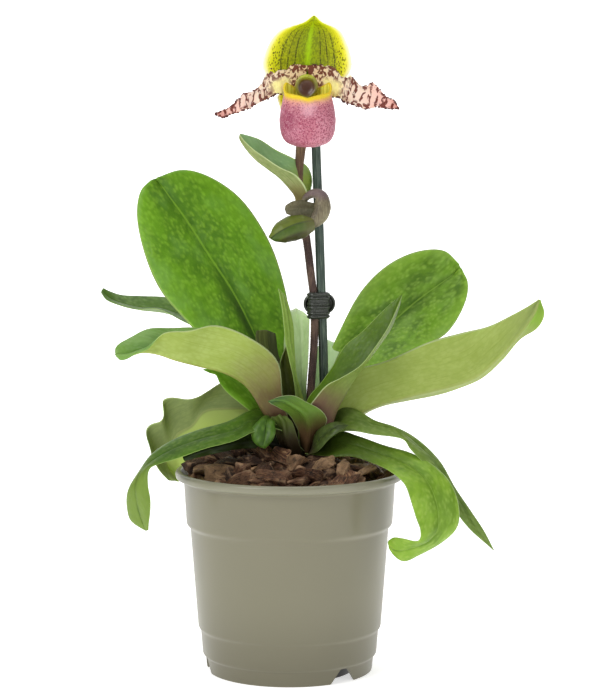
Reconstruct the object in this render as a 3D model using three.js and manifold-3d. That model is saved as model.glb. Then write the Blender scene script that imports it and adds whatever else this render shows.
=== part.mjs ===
// A slipper orchid in bloom, growing in the bark of its nursery pot and clipped to a support stake.
// Millimetres, +Z up. The flower looks along -Y. The origin is on the pot's axis, on the surface
// that the pot stands on.

import * as THREE from 'three';
import { mergeVertices } from 'three/addons/utils/BufferGeometryUtils.js';
import Module from 'manifold-3d';

const wasm = await Module();
wasm.setup();

// ---------------------------------------------------------------- driving dimensions

const SEAT = 0.35; // clearance between two pieces that touch

const POT = {
  height: 106.6,
  lipRadius: 60,
  lipDepth: 5,
  wall: 1.4,
  sides: 36,
  // outside of the wall from the foot to the lip: radius and height, with its three steps
  outside: [
    [43.2, 0], [43.9, 7.6], [45.4, 9], [46.4, 21.6], [47.7, 23.4], [51.7, 76], [53.9, 78.2],
    [55.5, 100.6],
  ],
  discRadius: 28, // flat middle of the underside
  channelHeight: 8, // the ring round the disc stands this far off the ground
};
const NOTCH = { azimuths: [-50, -170, 70], bottom: 18, top: 5, height: 7.6 };

const BARK = {
  edge: 99,
  mound: 111,
  chips: 42,
  chipSize: [16, 24],
  bareRound: 14, // no chip is centred this close to the crown
  seed: 7,
};

const CROWN = { x: 10, y: 7, radiusX: 12.5, radiusY: 8, bottom: 88, top: 122 };

const STALK_RADIUS = 1.9;
const OVARY_RADII = [1.9, 2, 2.6, 2.7, 2.5, 2.3];
const STAKE_RADIUS = 2.2;

const CLIP = {
  centre: [15.2, 11, 191.7],
  angle: 24, // from one stem to the other
  span: 4.8,
  radius: 3.4,
  height: 14,
  ribs: [-6, -4.2, -0.9, 0.9, 4.2, 6],
  ribDepth: 0.5,
  ribHeight: 1.5,
  gripWidth: 16.5,
  gripHeight: 10.6,
  gripDepth: 3,
};
const COLUMN = {
  x: 9.2,
  front: -8.5,
  level: 306,
  shieldWidth: 11.6,
  shieldHeight: 11.6,
  shieldDepth: 2.4,
};
const POUCH = {
  x: 9.3,
  y: -14.5,
  bottom: 275,
  wall: 1,
  // height of the rim from the front (first) round to the back (last), where the column carries it
  rim: [299.9, 301.2, 303.8, 307.8, 305.5, 303.5, 303, 304, 305.5],
  // share of the height, and the two radii there
  outside: [
    [0, 5, 4], [0.03, 9, 7.5], [0.1, 11.8, 9.8], [0.22, 13.9, 11], [0.4, 14.6, 11.6],
    [0.6, 14.1, 11.2], [0.82, 13, 10.6], [1, 12.7, 10.6],
  ],
};

const LEAF = { middle: 1.7, margin: 0.9 }; // thickness
const PETAL = { middle: 1.1, margin: 0.8 };

const COLOURS = {
  pot: 0x8b8a78,
  bark: 0x6b4231,
  crown: 0x5b6b34,
  leaf: 0x5f9a2a,
  dryStub: 0x4d4a28,
  stalk: 0x5a3b3c,
  bract: 0x86a35c,
  budBract: 0x6d5a58,
  bud: 0x5c7437,
  stake: 0x25443d,
  clip: 0x2c3b37,
  sepal: 0xb5cf1e,
  petal: 0xe6c3ae,
  pouch: 0xc9698a,
  staminode: 0x7a6a2c,
};

// ---------------------------------------------------------------- shaping helpers

const vec = (x, y, z) => new THREE.Vector3(x, y, z);
const radians = THREE.MathUtils.degToRad;

// A value, or a list of values spaced evenly from a piece's base (0) to its tip (1).
function along(values, t) {
  if (!Array.isArray(values)) return values;
  const place = t * (values.length - 1);
  const from = values[Math.floor(place)];
  const to = values[Math.ceil(place)];
  const share = place - Math.floor(place);
  if (Array.isArray(from)) return from.map((value, k) => THREE.MathUtils.lerp(value, to[k], share));
  return THREE.MathUtils.lerp(from, to, share);
}

// A geometry from points and triangles, turned the right way out whichever way round it was made.
function geometryFrom(points, triangles) {
  let volume = 0;
  for (let i = 0; i < triangles.length; i += 3) {
    const [a, b, c] = [0, 1, 2].map((k) => points[triangles[i + k]]);
    volume += a.clone().cross(b).dot(c);
  }
  const geometry = new THREE.BufferGeometry();
  const numbers = points.flatMap((point) => point.toArray());
  geometry.setAttribute('position', new THREE.Float32BufferAttribute(numbers, 3));
  geometry.setIndex(volume < 0 ? triangles.reverse() : triangles);
  return geometry;
}

function toSolid(geometry) {
  const bare = geometry.clone();
  bare.deleteAttribute('normal');
  bare.deleteAttribute('uv');
  const merged = mergeVertices(bare, 1e-4);
  return new wasm.Manifold(new wasm.Mesh({
    numProp: 3,
    vertProperties: Float32Array.from(merged.attributes.position.array),
    triVerts: Uint32Array.from(merged.index.array),
  }));
}

function toGeometry(solid) {
  const mesh = solid.getMesh();
  const geometry = new THREE.BufferGeometry();
  const positions = Float32Array.from(mesh.vertProperties);
  geometry.setAttribute('position', new THREE.BufferAttribute(positions, 3));
  geometry.setIndex(Array.from(mesh.triVerts));
  return geometry;
}

// What is left of a solid, as one body, when others have been cut away from it.
function cutBack(solid, others) {
  const rest = others.reduce((left, other) => left.subtract(other), solid);
  return rest.decompose().reduce((best, body) => (body.volume() > best.volume() ? body : best));
}

// A closed body through a row of rings with equal point counts, its two ends closed flat.
function loft(rings) {
  const count = rings[0].length;
  const points = rings.flat();
  const triangles = [];
  for (let i = 0; i < rings.length - 1; i += 1) {
    for (let j = 0; j < count; j += 1) {
      const a = i * count + j;
      const b = i * count + ((j + 1) % count);
      triangles.push(a, b, b + count, a, b + count, a + count);
    }
  }
  for (const [start, flip] of [[0, true], [(rings.length - 1) * count, false]]) {
    const centre = vec(0, 0, 0);
    for (let j = 0; j < count; j += 1) centre.addScaledVector(points[start + j], 1 / count);
    const middle = points.push(centre) - 1;
    for (let j = 0; j < count; j += 1) {
      const a = start + j;
      const b = start + ((j + 1) % count);
      triangles.push(...(flip ? [b, a, middle] : [a, b, middle]));
    }
  }
  return geometryFrom(points, triangles);
}

// A smooth curve through hand-placed points.
function curveThrough(points) {
  const places = points.map(([x, y, z]) => vec(x, y, z));
  return new THREE.CatmullRomCurve3(places, false, 'centripetal');
}

// A round stem through hand-placed points, with a radius given from base to tip.
function stem(path, radii, { sides = 8, steps = 16, grow = 0 } = {}) {
  const curve = curveThrough(path);
  const { tangents, normals, binormals } = curve.computeFrenetFrames(steps);
  const rings = [];
  for (let i = 0; i <= steps; i += 1) {
    const t = i / steps;
    const end = i === 0 ? -grow : (i === steps ? grow : 0);
    const centre = curve.getPointAt(t).addScaledVector(tangents[i], end);
    const radius = along(radii, t) + grow;
    const ring = [];
    for (let j = 0; j < sides; j += 1) {
      const angle = (2 * Math.PI * j) / sides;
      ring.push(centre.clone()
        .addScaledVector(normals[i], radius * Math.cos(angle))
        .addScaledVector(binormals[i], radius * Math.sin(angle)));
    }
    rings.push(ring);
  }
  return loft(rings);
}

// A leaf, sepal or petal: a blade with its midrib on a spine of hand-placed rows
// [x, y, z, half width]. face is where the upper side looks, fold is how far each half is raised
// from flat, curl rolls the margins down, and wave ripples them. grow makes it larger all round.
function blade(spec, grow = 0) {
  const { spine, face, fold = 10, curl = 0, wave = 0, waves = 3, tip = 0.8, point = 0.3 } = spec;
  const { steps = 16, strips = 6, thickness = LEAF } = spec;
  const path = curveThrough(spine);
  const widths = spine.map((row, i) => vec(row[3], i, 0));
  const halves = new THREE.CatmullRomCurve3(widths, false, 'catmullrom', 0.5);
  const rows = [];
  for (let i = 0; i <= steps; i += 1) {
    const t = i / steps;
    const tangent = path.getTangent(t);
    const end = i === 0 ? -grow : (i === steps ? grow : 0);
    const centre = path.getPoint(t).addScaledVector(tangent, end);
    const up = vec(...along(face, t));
    up.addScaledVector(tangent, -up.dot(tangent)).normalize();
    const side = tangent.clone().cross(up);
    const past = Math.max(0, (t - tip) / (1 - tip));
    const close = (1 - 0.985 * past * past) ** (0.5 + 0.5 * point);
    const half = Math.max(halves.getPoint(t).x * close, 0.5) + grow;
    const raise = radians(along(fold, t));
    const row = [];
    for (let j = 0; j <= strips; j += 1) {
      const u = (2 * j) / strips - 1;
      const ripple = along(wave, t) * u * u * Math.sin(2 * Math.PI * waves * t + (u > 0 ? 0 : 2));
      const lift = half * (Math.abs(u) * Math.sin(raise) - along(curl, t) * u * u) + ripple;
      row.push(centre.clone()
        .addScaledVector(side, u * half * Math.cos(raise))
        .addScaledVector(up, lift));
    }
    rows.push(row);
  }
  const { middle, margin } = thickness;
  return thicken(rows, (u) => THREE.MathUtils.lerp(middle, margin, Math.abs(u)) / 2 + grow);
}

// Gives a grid of points a body: the same triangles on both faces, joined round the edge.
function thicken(rows, halfThickness) {
  const across = rows[0].length;
  const upper = [];
  const lower = [];
  rows.forEach((row, i) => row.forEach((point, j) => {
    const before = rows[Math.max(i - 1, 0)][j];
    const after = rows[Math.min(i + 1, rows.length - 1)][j];
    const left = row[Math.max(j - 1, 0)];
    const right = row[Math.min(j + 1, across - 1)];
    const normal = right.clone().sub(left).cross(after.clone().sub(before)).normalize();
    const half = halfThickness((2 * j) / (across - 1) - 1);
    upper.push(point.clone().addScaledVector(normal, half));
    lower.push(point.clone().addScaledVector(normal, -half));
  }));
  const triangles = [];
  const under = upper.length;
  const quad = (a, b, c, d) => triangles.push(a, b, c, a, c, d);
  for (let i = 0; i < rows.length - 1; i += 1) {
    for (let j = 0; j < across - 1; j += 1) {
      const a = i * across + j;
      triangles.push(a, a + 1, a + 1 + across, a, a + 1 + across, a + across);
      triangles.push(under + a, under + a + 1 + across, under + a + 1);
      triangles.push(under + a, under + a + across, under + a + 1 + across);
    }
  }
  const rim = [];
  for (let j = 0; j < across - 1; j += 1) rim.push(j);
  for (let i = 0; i < rows.length - 1; i += 1) rim.push(i * across + across - 1);
  for (let j = across - 1; j > 0; j -= 1) rim.push((rows.length - 1) * across + j);
  for (let i = rows.length - 1; i > 0; i -= 1) rim.push(i * across);
  rim.forEach((a, k) => {
    const b = rim[(k + 1) % rim.length];
    quad(b, a, under + a, under + b);
  });
  return geometryFrom([...upper, ...lower], triangles);
}

function seededRandom(seed) {
  let state = seed;
  return () => {
    state = (state * 1664525 + 1013904223) % 4294967296;
    return state / 4294967296;
  };
}

const plant = new THREE.Group();

function add(name, solid, colour, roughness = 0.5) {
  const geometry = toGeometry(solid);
  const material = new THREE.MeshStandardMaterial({ color: colour, roughness, metalness: 0 });
  const mesh = new THREE.Mesh(geometry, material);
  mesh.name = name;
  plant.add(mesh);
}

// ---------------------------------------------------------------- pot

function lathe(profile, sides) {
  const geometry = new THREE.LatheGeometry(profile.map(([r, z]) => new THREE.Vector2(r, z)), sides);
  return geometry.rotateX(Math.PI / 2);
}

// The inside of the wall, one wall thickness in from the outside, from the floor to the lip.
const insideWall = POT.outside.slice(2).map(([r, z]) => [r - POT.wall, z]);
const floorTop = POT.channelHeight + POT.wall;
const floorRadius = POT.outside[0][0] - 0.6;

function makePot() {
  const { height, lipRadius, lipDepth, wall, outside, discRadius, channelHeight } = POT;
  const lipBottom = height - lipDepth;
  const foot = outside[0][0];
  const profile = [
    [0, 0],
    [discRadius, 0],
    [discRadius + 2, channelHeight],
    [foot - wall, channelHeight],
    [foot - wall, 0],
    ...outside,
    [lipRadius - 3.4, lipBottom],
    [lipRadius - 0.3, lipBottom + 0.8],
    [lipRadius, height - 1.3],
    [lipRadius - 1.3, height],
    [lipRadius - 2.8, height - 0.3],
    [lipRadius - 3.4, height - 1.6],
    ...insideWall.slice(1).reverse(),
    [floorRadius, floorTop],
    [discRadius + 0.6, floorTop],
    [discRadius - 1.4, wall],
    [0, wall],
  ];
  let pot = toSolid(lathe(profile, POT.sides));
  const outline = new THREE.Shape([
    new THREE.Vector2(-NOTCH.bottom / 2, -1),
    new THREE.Vector2(NOTCH.bottom / 2, -1),
    new THREE.Vector2(NOTCH.top / 2, NOTCH.height),
    new THREE.Vector2(-NOTCH.top / 2, NOTCH.height),
  ]);
  for (const azimuth of NOTCH.azimuths) {
    const cutter = new THREE.ExtrudeGeometry(outline, { depth: 8, bevelEnabled: false });
    cutter.rotateX(Math.PI / 2);
    cutter.translate(0, -foot + 5, 0);
    cutter.rotateZ(radians(azimuth + 90));
    pot = pot.subtract(toSolid(cutter));
  }
  return pot;
}

add('pot', makePot(), COLOURS.pot, 0.35);

// ---------------------------------------------------------------- crown, stalk and stake

// A ring of points round a vertical axis, by its two radii.
function ovalRing(x, y, z, radiusX, radiusY, sides) {
  const ring = [];
  for (let j = 0; j < sides; j += 1) {
    const angle = (2 * Math.PI * j) / sides;
    ring.push(vec(x + radiusX * Math.cos(angle), y + radiusY * Math.sin(angle), z));
  }
  return ring;
}

function crownBody(grow = 0) {
  const { x, y, radiusX, radiusY, bottom, top } = CROWN;
  const levels = [[bottom - grow, 0.5], [100, 0.85], [110, 1], [117, 1], [top + grow, 0.7]];
  const rings = levels.map(([z, share]) => (
    ovalRing(x, y, z, radiusX * share + grow, radiusY * share + grow, 12)));
  return toSolid(loft(rings));
}

const STALK_PATH = [
  [9.5, 9, 110], [11, 10, 144], [13, 10, 173], [13, 10, 193], [11, 10, 210], [9, 10, 226],
  [6.5, 10, 240], [5.6, 10, 246],
];
const STAKE_PATH = [
  [19.5, 19, 36], [19.5, 17.5, 118], [18.7, 16, 151], [18, 13.5, 178], [17.4, 12, 193],
  [16.6, 11.6, 216], [16, 12, 234], [15.2, 13, 253], [14.4, 14.5, 275], [14, 16, 296],
];
const OVARY_PATH = [
  [5.4, 10, 249], [5, 10, 261], [6, 9.5, 275], [8, 8.5, 289], [9, 7, 298], [9.2, 5, 302],
];
const stalk = (grow = 0) => toSolid(stem(STALK_PATH, STALK_RADIUS, { grow, steps: 14 }));
const stake = (grow = 0) => toSolid(stem(STAKE_PATH, STAKE_RADIUS, { grow, steps: 12 }));
const ovary = (grow = 0) => toSolid(stem(OVARY_PATH, OVARY_RADII, { grow, steps: 8 }));

add('flower_stalk', stalk(), COLOURS.stalk, 0.7);
add('support_stake', stake(), COLOURS.stake, 0.4);
add('crown', crownBody().subtract(stalk(SEAT)), COLOURS.crown, 0.7);

// ---------------------------------------------------------------- leaves, from the inside out

const LEAVES = [
  {
    name: 'leaf_young_folded',
    spine: [
      [19, 2, 115, 8], [24, -4, 130, 13], [29, -6, 141, 15], [36, -7, 155, 14],
      [45, -8, 172, 13], [52, -8, 184, 10], [59, -8, 198, 5],
    ],
    face: [
      [-0.75, 0.5, 0.4], [-0.8, 0.4, 0.4], [-0.9, 0.1, 0.4], [-0.88, -0.2, 0.4],
      [-0.84, -0.39, 0.39], [-0.84, -0.39, 0.39],
    ],
    fold: [50, 52, 54, 50],
    tip: 0.6,
    point: 1,
    steps: 12,
    strips: 4,
  },
  {
    name: 'leaf_strip_centre',
    spine: [[7, 7, 114, 5], [5, 6, 142, 5], [2, 7, 160, 5], [-1, 9, 177, 4.5], [-6, 12, 199, 3]],
    face: [[0.7, -0.6, 0.1], [0.5, -0.8, 0.2]],
    fold: [40, 35],
    tip: 0.7,
    point: 1,
    strips: 4,
    steps: 8,
  },
  {
    name: 'leaf_back_left',
    spine: [
      [6, 10, 114, 8], [-1, 16, 138, 12], [-14, 23, 165, 20], [-30, 30, 196, 28.5],
      [-42, 35, 214, 32], [-57, 41, 236, 28], [-67, 44, 250, 21], [-73, 45, 257, 13],
    ],
    face: [[0.6, -0.7, 0.4], [0.2, -0.95, 0.3], [0.05, -0.97, 0.15]],
    fold: [35, 12, 6, 8],
    curl: 0.08,
    tip: 0.86,
    point: 0,
    steps: 16,
    strips: 6,
  },
  {
    name: 'leaf_back_right',
    spine: [
      [14, 12, 114, 6], [17, 22, 130, 8], [25, 29, 147, 12], [39, 38, 166, 18],
      [57, 46, 181, 22.5], [72, 52, 193, 23.5], [84, 56, 202, 20], [94, 58, 207, 14],
    ],
    face: [[-0.3, -0.7, 0.6], [-0.25, -0.9, 0.3], [-0.1, -0.95, 0.25]],
    fold: [35, 12, 8, 8],
    curl: 0.06,
    tip: 0.84,
    point: 0,
    steps: 16,
    strips: 6,
  },
  {
    name: 'leaf_behind_stalk',
    spine: [
      [11, 14, 114, 7], [12, 24, 140, 12], [13, 34, 161, 15], [9, 46, 173, 14], [5, 62, 179, 10],
      [3, 78, 173, 6],
    ],
    face: [[0, -1, 0.3], [0, -0.6, 0.8], [0, 0.2, 1]],
    fold: [20, 20, 10],
    tip: 0.75,
    steps: 10,
    strips: 4,
  },
  {
    name: 'leaf_right',
    spine: [
      [19, 4, 115, 8], [27, 1, 129, 15], [38, 0, 137, 22], [57, -3, 143, 25], [84, -7, 153, 25],
      [97, -9, 163, 20], [109, -10, 173, 12], [119, -10, 182.5, 9.5], [129, -9, 195, 7],
    ],
    face: [
      [-0.2, 0.6, 0.8], [0, 0.7, 0.7], [0, 0.7, 0.7], [0, 0.7, 0.7], [-0.1, 0.75, 0.6],
      [-0.3, 0.8, 0.4], [-0.3, 0.9, 0.2], [-0.1, 1, 0.1], [-0.1, 1, 0.1],
    ],
    fold: [55, 50, 48, 45, 42, 30, 15, 8],
    tip: 0.92,
    point: 0.4,
    steps: 16,
    wave: 0.8,
  },
  {
    name: 'leaf_left',
    spine: [
      [2, 4, 114, 8], [-10, -5, 137, 13], [-27, -12, 155, 21], [-46, -17, 165.5, 19],
      [-62, -21, 170.5, 16], [-70, -23, 171, 13.5], [-78, -26, 170.5, 9.5],
      [-89, -29, 168.5, 8.5],
    ],
    face: [
      [0.6, 0.3, 0.7], [0.5, 0.6, 0.6], [0.3, 0.75, 0.6], [0.1, 0.75, 0.65], [0.1, 0.7, 0.7],
      [0, -0.21, 0.98], [0, -0.37, 0.93], [-0.2, -0.5, 0.8],
    ],
    fold: [55, 35, 30, 32, 42, 48, 24, 12],
    tip: 0.92,
    point: 0,
    steps: 16,
    wave: 0.8,
    strips: 4,
  },
  {
    name: 'leaf_long_right',
    spine: [
      [16, 0, 114, 8], [25, -6, 127, 9], [32, -9, 129, 9], [43, -14, 128.5, 8],
      [54.5, -18, 126, 7], [64.5, -21, 122, 6], [71.5, -23, 116.5, 5.5], [80.5, -25, 102.5, 5.5],
      [91, -27, 87, 5.5], [98, -28, 77, 4.5], [105, -29, 68.5, 1.5],
    ],
    face: [[-0.3, 0.2, 0.9], [0, 0.2, 1], [0.1, -0.1, 1], [0.5, -0.4, 0.8], [0.8, -0.4, 0.5]],
    fold: [45, 30, 20, 20],
    tip: 0.85,
    point: 1,
    steps: 16,
    strips: 4,
  },
  {
    name: 'leaf_front_right',
    spine: [
      [12, 0, 113, 8], [21, -8, 117, 9], [32.5, -15, 115.5, 9.5], [47, -23, 112.8, 10],
      [59, -31, 110, 11.5], [67, -37, 106.5, 13], [72, -42, 99.5, 13], [73.5, -46, 91, 13],
      [71, -48, 82, 12], [66, -48, 75, 10.5], [58, -45, 71, 10], [51.5, -39, 73.5, 8.5],
    ],
    face: [
      [0, -0.3, 1], [0.1, -0.5, 0.85], [0.2, -0.6, 0.8], [0.6, -0.8, 0.3], [0.6, -0.8, -0.1],
      [0.2, -0.6, -0.8], [-0.4, -0.5, -0.9],
    ],
    fold: [40, 16, 10, 10],
    tip: 0.9,
    steps: 20,
    strips: 4,
  },
  {
    name: 'leaf_under_left',
    spine: [
      [3, 3, 113, 6], [-12, 1, 134, 8], [-22, 0, 144, 9], [-31, -1, 151, 9], [-39, -1, 157, 5],
    ],
    face: [[-0.3, -0.5, 0.7], [-0.5, -0.6, 0.5]],
    fold: [40, 12],
    steps: 8,
    strips: 4,
  },
  {
    name: 'leaf_wavy_left',
    spine: [
      [3, 7, 113, 8], [-14, 12, 134, 11], [-30, 19, 137, 14], [-45, 26, 133, 18],
      [-55, 33, 123, 23.5], [-60.5, 38, 108, 17], [-62.5, 41, 94, 8],
    ],
    face: [[0.2, 0.2, 1], [-0.3, 0.5, 0.8], [-0.8, 0.6, 0.2]],
    fold: [40, 15, 5],
    wave: [0, 2.5, 2.5],
    waves: 3,
    steps: 14,
  },
  {
    name: 'leaf_far_left',
    spine: [
      [4, 10, 113, 7], [-15, 26, 148, 10], [-38, 42, 170, 12], [-59, 52, 181, 12],
      [-74, 56, 185, 10.5], [-90, 60, 188.3, 9], [-103, 62, 195.5, 6],
    ],
    face: [[0.5, -0.2, 0.8], [0.2, -0.1, 1], [0.1, -0.2, 1]],
    fold: [40, 30, 30],
    tip: 0.85,
    steps: 12,
    strips: 4,
  },
  {
    name: 'leaf_front_left',
    spine: [
      [5, 1, 113, 8], [-5, -5, 125, 10], [-14.5, -10, 129, 11], [-30.5, -18, 126, 12],
      [-48.5, -26, 122, 12], [-60, -32, 117.5, 9], [-68, -35, 112.8, 6.5],
      [-73, -37, 105.5, 6.5], [-75, -38, 98, 8.3], [-74.5, -39, 90, 9], [-72, -40, 80.5, 4],
    ],
    face: [
      [-0.1, -0.2, 1], [-0.1, -0.35, 1], [-0.1, -0.35, 1], [-0.6, -0.5, 0.7], [-0.8, -0.6, 0.2],
      [-0.8, -0.6, 0],
    ],
    fold: [45, 14, 12, 20, 35],
    tip: 0.85,
    point: 0.8,
    steps: 18,
    strips: 4,
  },
  {
    name: 'leaf_front_short',
    spine: [
      [8, 0, 113, 6], [8, -10, 128, 8], [7, -14, 137, 8], [3, -18, 143, 7], [-4, -22, 145, 5],
      [-10, -26, 145, 2],
    ],
    face: [[0, 0.4, 1], [0.4, 0.3, 0.9], [0.2, 0, 1]],
    fold: [45, 35, 25],
    tip: 0.7,
    point: 1,
    steps: 10,
    strips: 4,
  },
  {
    name: 'sheath_right',
    spine: [[10, 0, 113, 6], [18, -13, 125, 7], [26, -16, 130, 5]],
    face: [[0, -0.4, 1], [-0.2, -0.6, 0.8]],
    fold: [30, 10],
    steps: 6,
    strips: 4,
  },
  {
    name: 'sheath_left',
    spine: [[5, 0, 113, 6], [-3, -9, 124, 7], [-7, -11, 134, 4]],
    face: [[0.5, 0.4, 0.8], [0.6, 0.3, 0.5]],
    fold: [30, 25],
    steps: 6,
    strips: 4,
  },
  {
    name: 'leaf_small_front',
    spine: [
      [-2, -8, 121, 3], [-7, -13, 130, 4], [-11.5, -19, 131, 5], [-12, -23, 126, 5.5],
      [-12, -24, 119, 3],
    ],
    face: [[0, 0, 1], [-0.3, -0.5, 0.8], [0, -1, 0.2]],
    fold: [30, 25, 25],
    steps: 8,
    strips: 4,
  },
  {
    name: 'old_stalk_stub',
    spine: [[5, 9, 114, 4], [-5, 12, 149, 5], [-11, 14, 165, 5], [-13, 14, 176, 4]],
    face: [[0.6, -0.8, 0.3]],
    fold: 30,
    steps: 6,
    strips: 4,
    colour: COLOURS.dryStub,
  },
];

// Adds a blade, cut back where it would enter the pieces that it sits on, and returns its cutter:
// the same blade with the seat's clearance all round.
function addBlade(spec, neighbours, colour) {
  add(spec.name, cutBack(toSolid(blade(spec)), neighbours), colour);
  return toSolid(blade(spec, SEAT));
}

const growth = [crownBody(SEAT), stalk(SEAT), stake(SEAT)];
for (const leaf of LEAVES) {
  growth.push(addBlade(leaf, growth, leaf.colour ?? COLOURS.leaf));
}

// ---------------------------------------------------------------- bark

// Moves the corners of a box at random, so that it looks like a broken chip.
function splay(box, random) {
  const corners = box.attributes.position;
  const moves = new Map();
  for (let i = 0; i < corners.count; i += 1) {
    const key = [corners.getX(i), corners.getY(i), corners.getZ(i)].join();
    if (!moves.has(key)) moves.set(key, [0, 1, 2].map(() => 0.3 * (random() - 0.5)));
    const [dx, dy, dz] = moves.get(key);
    corners.setXYZ(i, corners.getX(i) + dx, corners.getY(i) + dy, corners.getZ(i) + dz);
  }
}

function makeBark() {
  const random = seededRandom(BARK.seed);
  const rim = insideWall.map(([r, z]) => [r - SEAT, z]).filter(([, z]) => z < BARK.edge);
  const edgeRadius = rim[rim.length - 1][0];
  const surface = (r) => THREE.MathUtils.lerp(BARK.mound, BARK.edge, (r / edgeRadius) ** 2);
  const bed = floorTop + SEAT;
  const side = [[floorRadius - SEAT, bed], ...rim.slice(1), [edgeRadius + 1, BARK.edge]];
  const top = [0.7, 0.4].map((share) => [share * edgeRadius, surface(share * edgeRadius)]);
  let bark = toSolid(lathe([[0, bed], ...side, ...top, [0, BARK.mound]], POT.sides));
  const inside = toSolid(lathe([[0, bed], ...side, [edgeRadius + 1.6, 130], [0, 130]], POT.sides));
  const [shortest, longest] = BARK.chipSize;
  for (let i = 0; i < BARK.chips; i += 1) {
    const radius = edgeRadius * Math.sqrt((i + 0.5) / BARK.chips);
    const azimuth = i * radians(137.5);
    const [x, y] = [radius * Math.cos(azimuth), radius * Math.sin(azimuth)];
    if (Math.hypot(x - CROWN.x, y - CROWN.y) < BARK.bareRound) continue;
    const length = THREE.MathUtils.lerp(shortest, longest, random());
    const chip = new THREE.BoxGeometry(1, 1, 1);
    splay(chip, random);
    chip.scale(length, length * (0.5 + 0.25 * random()), length * (0.3 + 0.2 * random()));
    chip.rotateX((random() - 0.5) * 1.4);
    chip.rotateY((random() - 0.5) * 1.2);
    chip.rotateZ(random() * 2 * Math.PI);
    chip.translate(x, y, surface(radius) + 1.5 * random());
    bark = bark.add(toSolid(chip));
  }
  return cutBack(bark.intersect(inside), growth);
}

add('bark', makeBark(), COLOURS.bark, 0.95);

// ---------------------------------------------------------------- clip

function makeClip() {
  const { centre, angle, span, radius, height, ribs, ribDepth, ribHeight } = CLIP;
  const across = vec(1, 0, 0).applyAxisAngle(vec(0, 0, 1), radians(angle));
  const ring = (level, grow) => {
    const points = [];
    for (let j = 0; j < 10; j += 1) {
      const turn = -90 + 45 * (j % 5) + 180 * Math.floor(j / 5);
      const point = vec(radius + grow, 0, 0).applyAxisAngle(vec(0, 0, 1), radians(angle + turn));
      point.addScaledVector(across, j < 5 ? span / 2 : -span / 2);
      points.push(point.add(vec(centre[0], centre[1], centre[2] + level)));
    }
    return points;
  };
  const rings = [ring(-height / 2, 0)];
  for (const level of ribs) {
    rings.push(ring(level - ribHeight / 2, 0));
    rings.push(ring(level, ribDepth));
    rings.push(ring(level + ribHeight / 2, 0));
  }
  rings.push(ring(height / 2, 0));
  const grip = new THREE.CylinderGeometry(1, 1, CLIP.gripDepth, 12);
  grip.scale(CLIP.gripWidth / 2, 1, CLIP.gripHeight / 2);
  grip.rotateZ(radians(angle / 2));
  grip.translate(centre[0] + 0.6, centre[1] + radius - CLIP.gripDepth / 2, centre[2] + 0.8);
  return toSolid(loft(rings)).add(toSolid(grip)).subtract(stalk(SEAT)).subtract(stake(SEAT));
}

add('clip', makeClip(), COLOURS.clip, 0.45);

// ---------------------------------------------------------------- bracts and second bud

const BRACT = {
  name: 'flower_bract',
  spine: [
    [3.5, 10, 243.5, 4], [0.5, 10, 248.5, 8], [-1, 8.5, 254, 12.5], [-7, 4, 262.5, 12.5],
    [-16.5, -2, 270.6, 8.2], [-26, -7, 282, 3.5],
  ],
  face: [[1, 0, 0.2], [1, 0, 0.3], [0.8, -0.2, 0.5], [0.6, -0.33, 0.73], [0.6, -0.33, 0.73]],
  fold: [45, 48, 50, 50],
  tip: 0.75,
  point: 0.8,
  steps: 11,
  strips: 4,
  thickness: PETAL,
};
add('ovary', ovary(), COLOURS.bract, 0.7);
const stalkTop = [stalk(SEAT), ovary(SEAT), stake(SEAT)];
stalkTop.push(addBlade(BRACT, stalkTop, COLOURS.bract));

const HOOK_PATH = [
  [7.5, 7, 247], [9.8, 5, 250], [14, 3.5, 251.3], [17.2, 2, 249], [18, 1.5, 244], [16.6, 1, 239],
  [13.5, 0, 236.3], [10, -1, 235],
];
const HOOK_RADII = [1.6, 2, 2.6, 3.6, 3.8, 3.8, 3.2, 2.4];
const LOBE = {
  spine: [[16, 1, 243, 4], [10, -1, 245, 4.5], [3, -3.5, 245.5, 4], [-2.5, -6, 244, 2.5]],
  face: [[0, -0.6, 0.8]],
  curl: 0.4,
  steps: 8,
  strips: 4,
  thickness: PETAL,
};
const BUD_PATH = [
  [9, -1.5, 235], [4.5, -3, 234], [-1, -5, 232.3], [-6, -7, 230.5], [-10.5, -9, 228],
];
const BUD_RADII = [4, 6.8, 6.8, 4.8, 0.8];
const budBody = (grow = 0) => toSolid(stem(BUD_PATH, BUD_RADII, { grow, sides: 10, steps: 8 }));

add('second_bud', budBody(), COLOURS.bud);
const hook = toSolid(stem(HOOK_PATH, HOOK_RADII, { steps: 14 })).add(toSolid(blade(LOBE)));
add('second_bud_bract', cutBack(hook, [...stalkTop, budBody(SEAT)]), COLOURS.budBract);

// ---------------------------------------------------------------- flower

// The column carries every part of the flower; its front ends in the shield-shaped staminode.
function columnBody(grow = 0) {
  const { x, front, shieldWidth, shieldHeight, shieldDepth, level } = COLUMN;
  const path = [[x, 4.5, 305.5], [x, 0, 307], [x, front + 1, level]];
  const neck = stem(path, [4, 3.4, 3], { grow, sides: 10, steps: 6 });
  const rings = [[-0.5, 0.75], [-0.2, 1], [0.2, 1], [0.5, 0.7]].map(([share, size]) => {
    const ring = [];
    for (let j = 0; j < 16; j += 1) {
      const angle = (2 * Math.PI * j) / 16;
      const pointed = 1 + 0.12 * Math.max(0, -Math.sin(angle)) ** 6;
      ring.push(vec(
        x + (size * shieldWidth / 2 + grow) * Math.cos(angle),
        front + share * (shieldDepth + 2 * grow),
        level + (size * shieldHeight / 2 + grow) * Math.sin(angle) * pointed,
      ));
    }
    return ring;
  });
  return toSolid(neck).add(toSolid(loft(rings)));
}

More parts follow.
